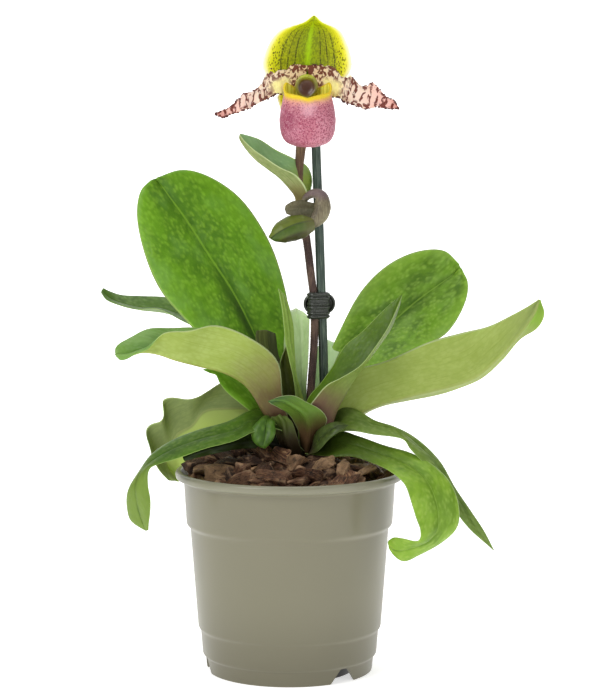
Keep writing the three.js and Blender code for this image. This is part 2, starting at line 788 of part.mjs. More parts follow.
// The pouch: a deep cup, its rim low in front, with a notch, and high at the sides.
function pouchBody() {
  const { x, y, bottom, wall, rim, outside } = POUCH;
  const sides = 24;
  const ring = (share, radiusX, radiusY, floor) => {
    const points = [];
    for (let j = 0; j < sides; j += 1) {
      const angle = (2 * Math.PI * j) / sides;
      const fromFront = Math.abs(((j / sides) * 2) - 1);
      const top = along(rim, fromFront);
      points.push(vec(
        x - radiusX * Math.sin(angle),
        y + radiusY * Math.cos(angle),
        floor + (top - floor) * share,
      ));
    }
    return points;
  };
  const outer = outside.map(([share, rx, ry]) => ring(share, rx, ry, bottom));
  const inner = outside.slice().reverse().map(([share, rx, ry]) => (
    ring(share, Math.max(rx - wall, 1.2), Math.max(ry - wall, 1.2), bottom + wall)));
  return toSolid(loft([...outer, ...inner]));
}

const SEPALS_AND_PETALS = [
  {
    name: 'dorsal_sepal',
    spine: [
      [9.2, 4, 306, 5], [9.1, 7, 311, 19], [9.4, 9, 317, 22.5], [10, 9, 323, 22.5],
      [10.8, 7.5, 329, 20.5], [11.7, 4, 334.5, 16.5], [12.3, 0, 338.5, 11], [12.6, -4, 341, 4],
      [12.8, -6.5, 342.5, 1],
    ],
    face: [[0, -1, 0.2], [0, -1, 0], [0, -0.9, -0.4], [0, -0.7, -0.8]],
    fold: 0,
    curl: -0.22,
    tip: 0.95,
    point: 0.5,
    steps: 14,
    strips: 8,
  },
  {
    name: 'petal_left',
    spine: [
      [8.5, 0, 310, 4.5], [3, -1, 311.5, 5.5], [-3.5, -1, 310.8, 5.6], [-9.2, -2, 307.6, 5.4],
      [-15, -3, 303.2, 5.2], [-22.4, -6, 298.2, 3.7], [-30, -9, 294, 3], [-36, -11, 292.2, 2.2],
      [-41, -12, 292.3, 0.9],
    ],
    face: [[0, -1, 0.3]],
    fold: 8,
    wave: [0, 0.8, 1.2, 1],
    waves: 4,
    tip: 0.85,
    point: 0.8,
    steps: 16,
    strips: 4,
  },
  {
    name: 'petal_right',
    spine: [
      [10, 0, 310, 4.5], [15, -1, 311.8, 5.3], [21, -1, 311.8, 5.6], [29, -2, 306, 5.4],
      [35.5, -5, 301.3, 5.4], [43, -8, 299.4, 5.2], [49, -10, 297.4, 3.9], [54.5, -11, 296, 2.8],
      [58, -12, 294.2, 0.8],
    ],
    face: [[0, -1, 0.3]],
    fold: 8,
    wave: [0, 0.8, 1.2, 1],
    waves: 4,
    tip: 0.85,
    point: 0.8,
    steps: 16,
    strips: 4,
  },
  {
    name: 'lower_sepal',
    spine: [
      [9.2, 3, 304, 5], [9.2, 1.2, 300, 14], [9.2, 0.3, 293, 15], [9.2, 0.8, 284, 10],
      [9.2, 1.8, 278, 3],
    ],
    face: [[0, -1, 0.2], [0, -1, 0]],
    fold: 0,
    curl: -0.05,
    steps: 8,
    strips: 4,
  },
];

add('column', columnBody().subtract(ovary(SEAT)), COLOURS.staminode);
const flower = [columnBody(SEAT), ovary(SEAT), stake(SEAT)];
add('pouch', cutBack(pouchBody(), flower), COLOURS.pouch, 0.45);
for (const part of SEPALS_AND_PETALS) {
  const colour = part.name.startsWith('petal') ? COLOURS.petal : COLOURS.sepal;
  flower.push(addBlade({ thickness: PETAL, ...part }, flower, colour));
}

export default plant;
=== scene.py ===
import math
import random

import bmesh
import bpy
import numpy as np
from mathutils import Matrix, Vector, noise


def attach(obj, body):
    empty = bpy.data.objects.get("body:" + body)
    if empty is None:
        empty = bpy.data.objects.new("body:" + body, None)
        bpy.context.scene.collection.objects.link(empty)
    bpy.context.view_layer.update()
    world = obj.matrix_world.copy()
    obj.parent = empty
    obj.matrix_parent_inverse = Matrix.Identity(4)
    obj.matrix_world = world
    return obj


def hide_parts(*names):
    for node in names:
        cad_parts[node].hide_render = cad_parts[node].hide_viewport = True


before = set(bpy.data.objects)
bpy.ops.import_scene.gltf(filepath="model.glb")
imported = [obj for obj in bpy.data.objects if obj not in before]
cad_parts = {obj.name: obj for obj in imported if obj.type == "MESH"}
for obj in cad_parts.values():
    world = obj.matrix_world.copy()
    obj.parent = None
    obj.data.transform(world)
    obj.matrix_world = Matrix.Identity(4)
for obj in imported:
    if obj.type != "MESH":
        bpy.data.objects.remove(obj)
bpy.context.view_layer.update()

# ------------------------------------------------------------------ pot
# A thin-walled grower's pot, injection moulded in one piece from glossy grey-green plastic. Its
# wall steps out three times on the way up to a rolled lip, and the foot has drain notches.

MM = 0.001


def new_piece(name, points, faces, skins, skin_of_face=None, maps=None, crease=None):
    """A mesh object from points in millimetres, turned the right way out. maps holds a pair of
    numbers a point for each named map, and crease is the angle past which an edge stays sharp."""
    points = np.asarray(points, float) * MM
    mesh = bpy.data.meshes.new(name)
    mesh.from_pydata(points.tolist(), [], faces)
    body = bmesh.new()
    body.from_mesh(mesh)
    if body.calc_volume(signed=True) < 0:
        mesh.flip_normals()
    body.free()
    for skin in skins:
        mesh.materials.append(skin)
    if skin_of_face is not None:
        mesh.polygons.foreach_set("material_index", skin_of_face)
    corners = np.empty(len(mesh.loops), int)
    mesh.loops.foreach_get("vertex_index", corners)
    for title, values in (maps or {}).items():
        layer = mesh.uv_layers.new(name=title)
        layer.data.foreach_set("uv", np.asarray(values, np.float32)[corners].ravel())
    mesh.shade_smooth()
    if crease is not None:
        mesh.set_sharp_from_angle(angle=math.radians(crease))
    piece = bpy.data.objects.new(name, mesh)
    bpy.context.scene.collection.objects.link(piece)
    return piece


def settle(piece, slot, *nodes):
    """The piece stands on the plant's one body, for those solids of the frame."""
    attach(piece, "root")
    if nodes:
        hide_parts(*nodes)


def paint(code):
    """A colour written as six hex digits, as the shader wants it."""
    parts = [int(code[k:k + 2], 16) / 255 for k in (0, 2, 4)]
    return [p / 12.92 if p <= 0.04045 else ((p + 0.055) / 1.055) ** 2.4 for p in parts] + [1.0]


class Skin:
    """A material under construction. Most calls put one node in, fed by sockets, values or colour
    codes, and return what it gives. tone is the colour so far, which tint and wash paint over."""

    def __init__(self, name):
        self.material = bpy.data.materials.new(name)
        self.material.use_nodes = True
        self.tree = self.material.node_tree
        self.tree.nodes.clear()

    def add(self, kind, feeds, **settings):
        node = self.tree.nodes.new("ShaderNode" + kind)
        for key, value in settings.items():
            setattr(node, key, value)
        for key, value in feeds.items():
            if isinstance(value, bpy.types.NodeSocket):
                self.tree.links.new(value, node.inputs[key])
            else:
                node.inputs[key].default_value = paint(value) if isinstance(value, str) else value
        return node

    def math(self, operation, a, b=0.0, c=0.0):
        return self.add("Math", {0: a, 1: b, 2: c}, operation=operation).outputs[0]

    def times(self, product, *factors):
        for factor in factors:
            product = self.math("MULTIPLY", product, factor)
        return product

    def plus(self, a, b):
        return self.math("ADD", a, b)

    def scaled(self, vector, x, y, z=1.0):
        return self.add("Mapping", {"Vector": vector, "Scale": (x, y, z)}).outputs[0]

    def uv(self, title):
        return self.add("UVMap", {}, uv_map=title).outputs[0]

    def place(self):
        return self.add("TexCoord", {}).outputs["Object"]

    def parts(self, vector):
        return self.add("SeparateXYZ", {0: vector}).outputs

    def cloud(self, vector, scale, detail=3.0, rough=0.5, warp=0.0):
        """Soft noise. A pair as its scale stretches it along the blade."""
        if isinstance(scale, tuple):
            vector, scale = self.scaled(vector, *scale), 1.0
        feeds = {"Vector": vector, "Scale": scale, "Detail": detail, "Roughness": rough}
        return self.add("TexNoise", {**feeds, "Distortion": warp}).outputs[0]

    def cells(self, vector, scale, feature="F1"):
        if isinstance(scale, tuple):
            vector, scale = self.scaled(vector, *scale), 1.0
        feeds = {"Vector": vector, "Scale": scale, "Randomness": 1.0}
        return self.add("TexVoronoi", feeds, feature=feature).outputs["Distance"]

    def step(self, value, low, high, out_low=0.0, out_high=1.0):
        feeds = {0: value, 1: low, 2: high, 3: out_low, 4: out_high}
        return self.add("MapRange", feeds, interpolation_type="SMOOTHSTEP").outputs[0]

    def blend(self, share, first, second):
        return self.add("Mix", {0: share, 6: first, 7: second}, data_type="RGBA").outputs[2]

    def ramp(self, share, *stops):
        node = self.add("ValToRGB", {0: share})
        marks = node.color_ramp.elements
        while len(marks) < len(stops):
            marks.new(0.5)
        for mark, (place, code) in zip(marks, stops):
            mark.position = place
            mark.color = paint(code)
        return node.outputs[0]

    def tint(self, share, code):
        self.tone = self.blend(share, self.tone, code)

    def wash(self, code, value, low, high, most=1.0):
        """That colour, from none of it where value is low to the most of it where it is high."""
        self.tint(self.step(value, low, high, 0, most), code)

    def surface(self, rough, height=None, depth=0.0, flesh=None, **fixed):
        """The finished plastic, leaf or petal: its gloss and its relief in millimetres, and for
        living flesh how much light goes in, how far, and how far each colour goes."""
        feeds = {"Base Color": self.tone, "Roughness": rough}
        if height is not None:
            bump = self.add("Bump", {"Height": height, "Strength": 1.0, "Distance": depth * MM})
            feeds["Normal"] = bump.outputs[0]
        if flesh:
            keys = ("Subsurface Weight", "Subsurface Scale", "Subsurface Radius")
            feeds.update(zip(keys, flesh))
        feeds.update({key.replace("_", " "): value for key, value in fixed.items()})
        shader = self.add("BsdfPrincipled", feeds)
        self.add("OutputMaterial", {"Surface": shader.outputs[0]})
        return self.material


pot_height, pot_wall, pot_sides = 106.6, 1.4, 144
lip_radius, lip_depth = 60.0, 5.0
lip_low, lip_in = pot_height - lip_depth, lip_radius - 3.4
disc_radius, channel_height = 33.5, 8.0
# outside of the wall from the foot to the lip, with its three steps: radius and height
wall_outside = [
    (43.6, 0), (44.3, 7.6), (45.9, 9), (46.9, 21.6), (48.2, 23.4), (52.2, 76), (54.2, 78.2),
    (55.5, 100.6),
]
wall_inside = [(r - pot_wall, z) for r, z in wall_outside[2:]]
floor_top = channel_height + pot_wall
foot_radius = wall_outside[0][0]
pot_profile = [
    (disc_radius, 0), (disc_radius + 2, channel_height), (foot_radius - pot_wall, channel_height),
    (foot_radius - pot_wall, 0), *wall_outside, (lip_in, lip_low),
    (lip_radius - 0.3, lip_low + 0.8), (lip_radius, pot_height - 1.3),
    (lip_radius - 1.3, pot_height),
    (lip_radius - 2.8, pot_height - 0.3), (lip_in, pot_height - 1.6), *reversed(wall_inside[1:]),
    (foot_radius - 0.6, floor_top), (disc_radius + 0.6, floor_top), (disc_radius - 1.4, pot_wall),
]


def rounded(profile, radius):
    """The profile with each inner corner drawn as a short arc of four points."""
    corners = [np.array(p, float) for p in profile]
    result = [corners[0]]
    for before, corner, after in zip(corners, corners[1:], corners[2:]):
        back, on = before - corner, after - corner
        reach = min(radius, 0.45 * np.linalg.norm(back), 0.45 * np.linalg.norm(on))
        start = corner + back * reach / np.linalg.norm(back)
        end = corner + on * reach / np.linalg.norm(on)
        for t in (0, 1 / 3, 2 / 3, 1):
            result.append((1 - t) ** 2 * start + 2 * t * (1 - t) * corner + t * t * end)
    return result + [corners[-1]]


def skinned_rings(rings):
    """Points and faces of a closed body through rings of equal point counts."""
    count = len(rings[0])
    points = [point for ring in rings for point in ring]
    faces = []
    for row in range(0, len(points) - count, count):
        for j in range(count):
            k = (j + 1) % count
            faces.append((row + j, row + k, row + count + k, row + count + j))
    for row in (0, len(points) - count):
        centre = len(points)
        points.append(tuple(np.mean(np.array(points[row:row + count], float), axis=0)))
        for j in range(count):
            a, b = row + j, row + (j + 1) % count
            faces.append((centre, b, a) if row == 0 else (centre, a, b))
    return points, faces


def bearings(sides):
    return [2 * math.pi * j / sides for j in range(sides)]


def turned(profile, sides):
    """A profile of (radius, height) turned about the Z axis and closed at both ends."""
    return skinned_rings([[(r * math.cos(a), r * math.sin(a), z) for a in bearings(sides)]
                          for r, z in profile])


def spin(x, y, angle):
    return x * math.cos(angle) - y * math.sin(angle), x * math.sin(angle) + y * math.cos(angle)


def cut(piece, cutter):
    """Takes the cutter's shape out of the piece for good."""
    tool = piece.modifiers.new("cut", "BOOLEAN")
    tool.operation = "DIFFERENCE"
    tool.solver = "EXACT"
    tool.object = cutter
    graph = bpy.context.evaluated_depsgraph_get()
    mesh = bpy.data.meshes.new_from_object(piece.evaluated_get(graph))
    piece.modifiers.clear()
    piece.data = mesh
    bpy.data.objects.remove(cutter)


def drain_notch(azimuth):
    """A wedge that cuts the notch out of the foot at that bearing, wide at the ground."""
    bottom, top, height = 18.0, 5.0, 7.6
    outline = [(-bottom / 2, -1), (bottom / 2, -1), (top / 2, height), (-top / 2, height)]
    points = [(*spin(x, y, math.radians(azimuth + 90)), z)
              for y in (-foot_radius + 5, -foot_radius - 3) for x, z in outline]
    faces = [(0, 1, 2, 3), (7, 6, 5, 4), (0, 4, 5, 1), (1, 5, 6, 2), (2, 6, 7, 3), (3, 7, 4, 0)]
    return new_piece("notch", points, faces, [])


skin = Skin("pot_plastic")
spot = skin.place()
level = skin.parts(spot)[2]
flat = skin.scaled(spot, 1, 1, 0)
from_axis = skin.add("VectorMath", {0: flat}, operation="LENGTH").outputs["Value"]
dust = skin.cloud(spot, 1400, 4, 0.7)
smear = skin.cloud(skin.scaled(spot, 1, 1, 0.3), 60, 3)
skin.tone = skin.blend(skin.cloud(spot, 14, 2), "78755e", "7f7b66")
# painted shade: the wall is painted darker towards the foot
skin.wash("65614d", level, 0.05, 0.0, 0.8)
# painted highlight: the upper part of the lip is painted lighter than the rest of the plastic
skin.wash("8c8b77", level, 0.1005, 0.1025, 0.6)
# painted shade: the hollow under the floor, inside the foot ring, is painted near black
painted_shade_under_foot = skin.times(skin.step(from_axis, 0.0425, 0.0415), skin.step(level, 0.0092, 0.0084))
skin.tint(painted_shade_under_foot, "16140e")
# painted shade: the inner wall just under the lip is painted dark
painted_shade_inside_lip = skin.times(skin.step(from_axis, 0.0572, 0.0562), skin.step(level, 0.1035, 0.1045), 0.85)
skin.tint(painted_shade_inside_lip, "3a352a")
skin.wash("b3b1a2", dust, 0.62, 0.8, 0.1)
pot_material = skin.surface(skin.step(smear, 0.3, 0.7, 0.33, 0.38), dust, 0.008, IOR=1.46,
                            Coat_Weight=0.12, Coat_Roughness=0.2)

pot = new_piece("nursery_pot", *turned(rounded(pot_profile, 0.9), pot_sides), [pot_material])
for azimuth in (-50, -170, 70):
    cut(pot, drain_notch(azimuth))
pot.data.shade_smooth()
pot.data.set_sharp_from_angle(angle=math.radians(40))
settle(pot, "pot", "pot")

# ------------------------------------------------------------------ bark
# Coarse pine bark fills the pot: broken, layered pieces one to two and a half centimetres long,
# lying loose on a mound of finer crumbs, reddish where they are fresh and nearly black between, a
# black that is partly painted shade in the crevices.

bark_edge, bark_mound = 99.0, 110.0
bark_radius = wall_inside[-1][0] - 0.6
crown_x, crown_y, crown_clear = 10.0, 7.0, 9.0
chip_corners, longest_edge = 13, 1.9
golden_turn = math.radians(137.5)


def bark_level(radius):
    return bark_mound + (bark_edge - bark_mound) * (radius / bark_radius) ** 2


def bark_chip(draw, length, centre):
    """One broken chip: a flat hull of random corners, its faces roughened by layered noise.
    Returns its points, faces and each point's place along the grain."""
    shape = bmesh.new()
    width, depth = length * draw.uniform(0.5, 0.8), length * draw.uniform(0.26, 0.46)
    for _ in range(chip_corners):
        corner = Vector([draw.uniform(-0.5, 0.5) for _ in range(3)])
        reach = max(abs(x) for x in corner)
        corner *= 0.5 / reach * draw.uniform(0.78, 1.0)
        shape.verts.new((corner.x * length, corner.y * width, corner.z * depth))
    hull = bmesh.ops.convex_hull(shape, input=shape.verts)
    loose = [v for v in hull["geom_interior"] if isinstance(v, bmesh.types.BMVert)]
    bmesh.ops.delete(shape, geom=loose, context="VERTS")
    bmesh.ops.bevel(shape, geom=shape.edges[:], offset=0.05 * length, segments=1, affect="EDGES",
                    clamp_overlap=True)
    bmesh.ops.triangulate(shape, faces=shape.faces[:])
    bmesh.ops.subdivide_edges(shape, edges=shape.edges[:], cuts=1, use_grid_fill=True)
    too_long = [e for e in shape.edges if e.calc_length() > longest_edge]
    bmesh.ops.subdivide_edges(shape, edges=too_long, cuts=1, use_grid_fill=True)
    bmesh.ops.triangulate(shape, faces=shape.faces[:])
    shape.normal_update()
    seed = Vector([draw.uniform(0, 90) for _ in range(3)])
    grain = [(v.co.x + seed.x * 10, v.co.z * 2 + v.co.y * 0.5 + seed.y) for v in shape.verts]
    for v in shape.verts:
        flake = noise.noise(Vector((v.co.x * 0.12, v.co.y * 0.3, v.co.z * 1.1)) + seed)
        crumb = noise.noise(v.co * 0.9 + seed)
        v.co += v.normal * (0.8 * flake + 0.35 * crumb)
    turn = draw.uniform(0, 2 * math.pi)
    lean_x, lean_y = draw.gauss(0, 0.4), draw.gauss(0, 0.35)
    points = []
    for x, y, z in [v.co for v in shape.verts]:
        y, z = spin(y, z, lean_x)
        x, z = spin(x, z, -lean_y)
        x, y = spin(x, y, turn)
        points.append((x + centre[0], y + centre[1], z + centre[2]))
    shape.verts.index_update()
    faces = [tuple(v.index for v in f.verts) for f in shape.faces]
    shape.free()
    return points, faces, grain


def inside_pot(point):
    """Pulls a point in where it would touch the pot's wall, which widens upward."""
    x, y, z = point
    radii, heights = zip(*wall_inside)
    limit = lip_radius + 3 if z > pot_height - 2 else np.interp(z, heights, radii) - 0.7
    reach = math.hypot(x, y)
    return (x * limit / reach, y * limit / reach, z) if reach > limit else point


draw = random.Random(11)
chip_points, chip_faces, chip_grain, chip_tone = [], [], [], []


def lay_chip(length, middle, tones=None):
    """Adds a chip to the heap. Its two tone numbers are drawn by lot if none are given."""
    points, faces, grain = bark_chip(draw, length, middle)
    start = len(chip_points)
    chip_points.extend(inside_pot(p) for p in points)
    chip_faces.extend(tuple(start + i for i in face) for face in faces)
    chip_grain.extend(grain)
    chip_tone.extend([tones or (draw.random(), draw.random())] * len(points))


# three layers: how many chips, how far the spiral is turned on, how high, shortest and longest
for count, shift, lift, sizes in [(120, 0, -3.2, (16, 27)), (62, 2, 0.4, (14, 26)),
                                  (60, 0, 1.4, (6, 12))]:
    for k in range(count):
        radius = (bark_radius - 2) * math.sqrt((k + 0.5) / count)
        bearing = k * golden_turn + shift
        x, y = radius * math.cos(bearing), radius * math.sin(bearing)
        if math.hypot(x - crown_x, y - crown_y) < crown_clear:
            continue
        x, y = x + draw.gauss(0, 1.5), y + draw.gauss(0, 1.5)
        level = bark_level(math.hypot(x, y)) + lift + draw.uniform(-1.0, 1.6)
        lay_chip(draw.uniform(*sizes), (x, y, level))

# a few larger pieces stand up against the crown: middle, length and the two tone numbers
for middle, length, tones in [
        ((-50, 2, 109.5), 18, (0.9, 0.1)), ((-43, 4, 112), 19, (0.6, 0.3)),
        ((-35, 5, 113.5), 20, (0.9, 0.1)), ((-27, 3, 115.5), 18, (0.8, 0.2)),
        ((-20, 2, 117), 17, (0.9, 0.1)), ((-13, -8, 116), 18, (0.2, 0.2)),
        ((-5, -13, 115), 21, (0.1, 0.3)), ((3, -19, 114.5), 24, (0.2, 0.85)),
        ((-20, -14, 112.5), 20, (0.85, 0.1)), ((-31, -11, 111), 22, (0.95, 0.0)),
        ((-45, -12, 107), 17, (0.3, 0.8)), ((-24, -30, 109), 20, (0.3, 0.3)),
        ((-36, -24, 108), 18, (0.5, 0.9)), ((16, -24, 112), 18, (0.1, 0.95)),
        ((24, -9, 110.5), 15, (0.9, 0.1)), ((33, -8, 110), 15, (0.6, 0.4)),
        ((42, -7, 107.5), 15, (0.2, 0.9)), ((48, -14, 105.5), 13, (0.3, 0.5)),
        ((28, -27, 110), 19, (0.25, 0.9)), ((9, -38, 108), 20, (0.35, 0.3)),
        ((-8, -40, 107.5), 22, (0.3, 0.5)), ((38, -24, 108), 15, (0.1, 0.95))]:
    lay_chip(length, middle, tones)

skin = Skin("pine_bark")
spot = skin.place()
chip_dark, chip_pale, _ = skin.parts(skin.uv("chip"))
layers = skin.cloud(skin.scaled(skin.uv("grain"), 0.12, 1.3), 1.6, 6, 0.65, 0.6)
crumbs = skin.cloud(spot, 700, 6, 0.7)
coarse = skin.cloud(spot, 260, 5, 0.7, 0.8)
bends = skin.add("NewGeometry", {}).outputs["Pointiness"]
skin.tone = skin.ramp(layers, (0.25, "1c110a"), (0.42, "50321f"), (0.54, "7d543a"),
                      (0.64, "b0875f"), (0.8, "d2b088"))
skin.wash("261910", chip_dark, 0.35, 1.0, 0.75)
skin.wash("cfaa7f", chip_pale, 0.7, 1.0, 0.6)
skin.wash("b58f6a", crumbs, 0.58, 0.8, 0.45)
skin.wash("1a0f09", coarse, 0.52, 0.3, 0.85)
skin.wash("c99f78", coarse, 0.58, 0.72, 0.6)
# convex edges are painted lighter as wear; hollows are darkened as painted shade in the crevices
skin.wash("c8a27c", bends, 0.515, 0.58, 0.6)
skin.wash("140b06", bends, 0.49, 0.43, 0.75)
bark_material = skin.surface(skin.step(crumbs, 0.3, 0.7, 0.5, 0.8),
                             skin.plus(layers, skin.times(crumbs, 0.5)), 1.5)
bark = new_piece("pine_bark", chip_points, chip_faces, [bark_material],
                 maps={"grain": chip_grain, "chip": chip_tone}, crease=30)
settle(bark, "bark", "bark")

# Fine bark crumbs fill the pot below the chips, as one lumpy bed that closes every gap. Its
# near-black colour is partly the crumbs' own and partly painted shade in the gaps.
bed_drop, flat_radius, lump_height = 3.5, 50, 1.3
bed_profile = [(foot_radius - 1.4, floor_top + 0.4)]
bed_profile += [(r - 0.7, z) for r, z in wall_inside[1:] if z < bark_edge]
bed_profile += [(bark_radius - 0.2, bark_edge - 3)]
bed_profile += [(bark_radius * s, bark_level(bark_radius * s) - bed_drop)
                for s in np.linspace(0.97, 0.02, 40)]
bed_points, bed_faces = turned(bed_profile, 120)
lumpy = []
for x, y, z in bed_points:
    lump = noise.noise(Vector((x * 0.22, y * 0.22, 3.0))) + 0.6 * noise.noise(Vector((x, y, 9.0)))
    on_top = z > bark_edge - bed_drop and math.hypot(x, y) < flat_radius
    lumpy.append((x, y, z + (lump_height * lump if on_top else 0)))

skin = Skin("bark_crumbs")
grit = skin.cloud(skin.place(), 420, 6, 0.7)
skin.tone = skin.ramp(grit, (0.3, "120c07"), (0.55, "2e2016"), (0.8, "5d4431"))
settle(new_piece("bark_bed", lumpy, bed_faces, [skin.surface(0.95, grit, 2.0)]), "bark")

# ------------------------------------------------------------------ leaves
# Each strap leaf grows from the short crown in the middle of the bark. It is folded along its
# midrib at the base, opens towards the tip and arches over. The upper side is waxy and mottled,
# the underside pale with fine veins, and the oldest bases are stained purple.


def smooth_curve(points, shares):
    """Points on the smooth curve through the given points, which are spaced by their own distances,
    at shares of the way from the first (0) to the last (1)."""
    p = np.asarray(points, float)
    p = np.vstack([2 * p[0] - p[1], p, 2 * p[-1] - p[-2]])
    places = np.clip(np.asarray(shares, float), 0, 1) * (len(points) - 1)
    span = np.minimum(places.astype(int), len(points) - 2)
    w = (places - span)[:, None]
    a, b, c, d = (p[span + k] for k in range(4))
    first, middle, last = (np.maximum(np.linalg.norm(v - u, axis=1), 1e-3)[:, None] ** 0.5
                           for u, v in ((a, b), (b, c), (c, d)))
    leave = ((b - a) / first - (c - a) / (first + middle) + (c - b) / middle) * middle
    arrive = ((c - b) / middle - (d - b) / (middle + last) + (d - c) / last) * middle
    return (b + leave * w + (3 * (c - b) - 2 * leave - arrive) * w ** 2
            + (2 * (b - c) + leave + arrive) * w ** 3)


def unit(vectors):
    return vectors / np.maximum(np.linalg.norm(vectors, axis=-1, keepdims=True), 1e-12)


def sheet_normal(grid):
    return unit(np.cross(np.gradient(grid, axis=1), np.gradient(grid, axis=0)))


def blade_sheet(rails, rows=84, across=31, groove=0.12, arch=0.0, wave=0.0, waves=3):
    """The middle surface of a leaf, spread from its midrib to its two margins. A row of rails is
    x, y, z of the left margin, of the midrib and of the right margin, in millimetres. groove is
    how softly the midrib folds, arch how far each half bulges, wave how far the margins ripple."""
    table = np.asarray(rails, float).reshape(len(rails), 3, 3)
    t = 1 - (1 - np.linspace(0, 1, rows)) ** 1.5
    left, middle, right = (smooth_curve(table[:, k], t) for k in range(3))
    line = np.linspace(-1, 1, across)
    u = 0.55 * line + 0.45 * np.sin(line * 1.35) / math.sin(1.35)

    def reach(v):
        return (np.sqrt(v ** 2 + groove ** 2) + v - math.sqrt(1 + groove ** 2) + 1) / 2

    grid = (middle[:, None] + reach(u)[None, :, None] * (right - middle)[:, None]
            + reach(-u)[None, :, None] * (left - middle)[:, None])
    width = np.linalg.norm(left - middle, axis=1), np.linalg.norm(right - middle, axis=1)
    bulge = arch * 4 * np.abs(u) * (1 - np.abs(u))
    phase = np.where(u > 0, 0, 2.0)
    ripple = wave * np.sin(2 * math.pi * waves * t[:, None] + phase[None, :]) * u[None, :] ** 2
    fade = np.clip(np.minimum(t * 4, (width[0] + width[1]) / 9), 0, 1)[:, None]
    grid = grid + sheet_normal(grid) * ((bulge[None, :] + ripple) * fade)[..., None]
    run = np.concatenate([[0], np.cumsum(np.linalg.norm(np.diff(middle, axis=0), axis=1))])
    half = np.where(u[None, :] < 0, width[0][:, None], width[1][:, None])
    return grid, u, t, half, run


def blade_mesh(name, grid, u, t, half, run, thickness, skins):
    """Gives the sheet its body: thickest at the midrib, thinning to a rounded margin."""
    rows, across = grid.shape[:2]
    middle, margin = thickness
    lens = np.sqrt(np.clip(1 - np.abs(u) ** 7, 0, 1))
    body = (margin + (middle - margin) * np.exp(-(u / 0.25) ** 2)) / 2 * lens
    cap = np.sqrt(np.clip(1 - t ** 30, 0, 1)) * np.clip((half[:, 0] + half[:, -1]) / 5, 0.12, 1)
    offset = sheet_normal(grid) * (cap[:, None] * body[None, :])[..., None]
    under = rows * across

    def both_sides(upper, lower):
        inner = lower[:, 1:-1].reshape(rows * (across - 2), -1)
        return np.vstack([upper.reshape(under, -1), inner])

    def low(i, j):
        return i * across + j if j in (0, across - 1) else under + i * (across - 2) + j - 1

    faces, skin_of_face = [], []
    for i in range(rows - 1):
        for j in range(across - 1):
            a = i * across + j
            faces.append((a, a + 1, a + 1 + across, a + across))
            faces.append((low(i, j), low(i + 1, j), low(i + 1, j + 1), low(i, j + 1)))
            skin_of_face += [0, 1]
    for i, flip in ((0, False), (rows - 1, True)):
        for j in range(across - 1):
            ring = [i * across + j, low(i, j), low(i, j + 1), i * across + j + 1]
            ring = list(dict.fromkeys(ring))
            if len(ring) > 2:
                faces.append(tuple(reversed(ring)) if flip else tuple(ring))
                skin_of_face.append(1)
    size = np.stack([u[None, :] * half / 10, np.repeat(run[:, None] / 10, across, 1)], -1)
    share = np.stack([np.repeat(u[None, :] * 0.5 + 0.5, rows, 0),
                      np.repeat(t[:, None], across, 1)], -1)
    maps = {"size": both_sides(size, size), "share": both_sides(share, share)}
    points = both_sides(grid + offset, grid - offset)
    return new_piece(name, points, faces, skins, skin_of_face, maps)


class Blade(Skin):
    """A skin for leaves, sepals and petals. It knows its place in centimetres, as a share from
    the left margin to the right and from base to tip, and how far it is from the midrib."""

    def __init__(self, name):
        super().__init__(name)
        self.size = self.uv("size")
        self.side, self.along, _ = self.parts(self.uv("share"))
        self.from_mid = self.math("ABSOLUTE", self.math("MULTIPLY_ADD", self.side, 2.0, -1.0))


leaf_flesh = (0.1, 0.002, (0.6, 1.0, 0.2))


def upper_skin(name, colours, dots=0.5, patches=0.75, painted_shade=0.55, painted_sheen=0.0, tip=None, rib=0.3,
               low=0.3, edge=0.75, shade=0.0, painted_bluish_sheen=None, margin=0.962):
    """The waxy upper side: rows of small pale flecks over clouded green, darker along the midrib
    with painted shade, with a fine bright line in its groove and a thin pale margin. It can also
    carry painted sheen and painted shade in the crease."""
    dark, mid, light, base = colours.split()
    skin = Blade(name)
    size, from_mid, along = skin.size, skin.from_mid, skin.along
    patch = skin.cloud(size, (0.8, 0.45), 4, 0.6, 0.4)
    cell = skin.cells(size, (6.2, 4.0), "SMOOTH_F1")
    where = skin.cloud(size, (1.6, 1.0), 3, 0.6)
    fine = skin.cloud(size, (16.0, 7.0), 2, 0.6)
    inward = skin.math("MULTIPLY_ADD", from_mid, -0.16, patch)
    skin.tone = skin.blend(skin.step(inward, 0.3, 0.56, 0, patches), mid, dark)
    dappled = skin.times(skin.step(cell, 0.6, 0.1), skin.step(where, 0.25, 0.65, 0.35, 1.0), dots)
    skin.tint(dappled, light)
    skin.wash(light, fine, 0.55, 0.75, 0.16)
    skin.wash(dark, fine, 0.45, 0.25, 0.2)
    # painted sheen: lighter towards both margins, a painted reflection
    if painted_sheen:
        skin.wash(light, from_mid, 0.6, 1.0, painted_sheen)
    # painted sheen: cloudy bluish-grey patches, a painted reflection
    if painted_bluish_sheen:
        skin.wash(painted_bluish_sheen, skin.cloud(size, (0.55, 0.3), 2, 0.5), 0.5, 0.68, 0.32)
    # painted shade: where asked, the left side of the midrib crease is darkened towards the base
    if shade:
        left_half = skin.times(skin.step(skin.side, 0.36, 0.47), skin.step(skin.side, 0.505, 0.49))
        skin.tint(skin.times(left_half, skin.step(along, 0.52, 0.3, 0, shade)), "28400a")
    if tip:
        skin.wash(tip, along, 0.5, 0.72, 0.75)
    # painted shade along the midrib groove
    groove_shade = skin.times(skin.step(from_mid, 0.2, 0.02, 0, painted_shade), skin.step(where, 0.3, 0.6))
    skin.tint(groove_shade, dark)
    skin.wash(light, from_mid, 0.026, 0.01, rib)
    skin.wash(base, along, low, low - 0.25, 0.85)
    skin.wash("9dbb62", from_mid, margin, margin + 0.017, edge)
    relief = skin.plus(skin.step(cell, 0.6, 0.1), skin.times(fine, 0.6))
    return skin.surface(skin.step(fine, 0.2, 0.8, 0.36, 0.46), relief, 0.1, leaf_flesh,
                        Specular_IOR_Level=0.28)


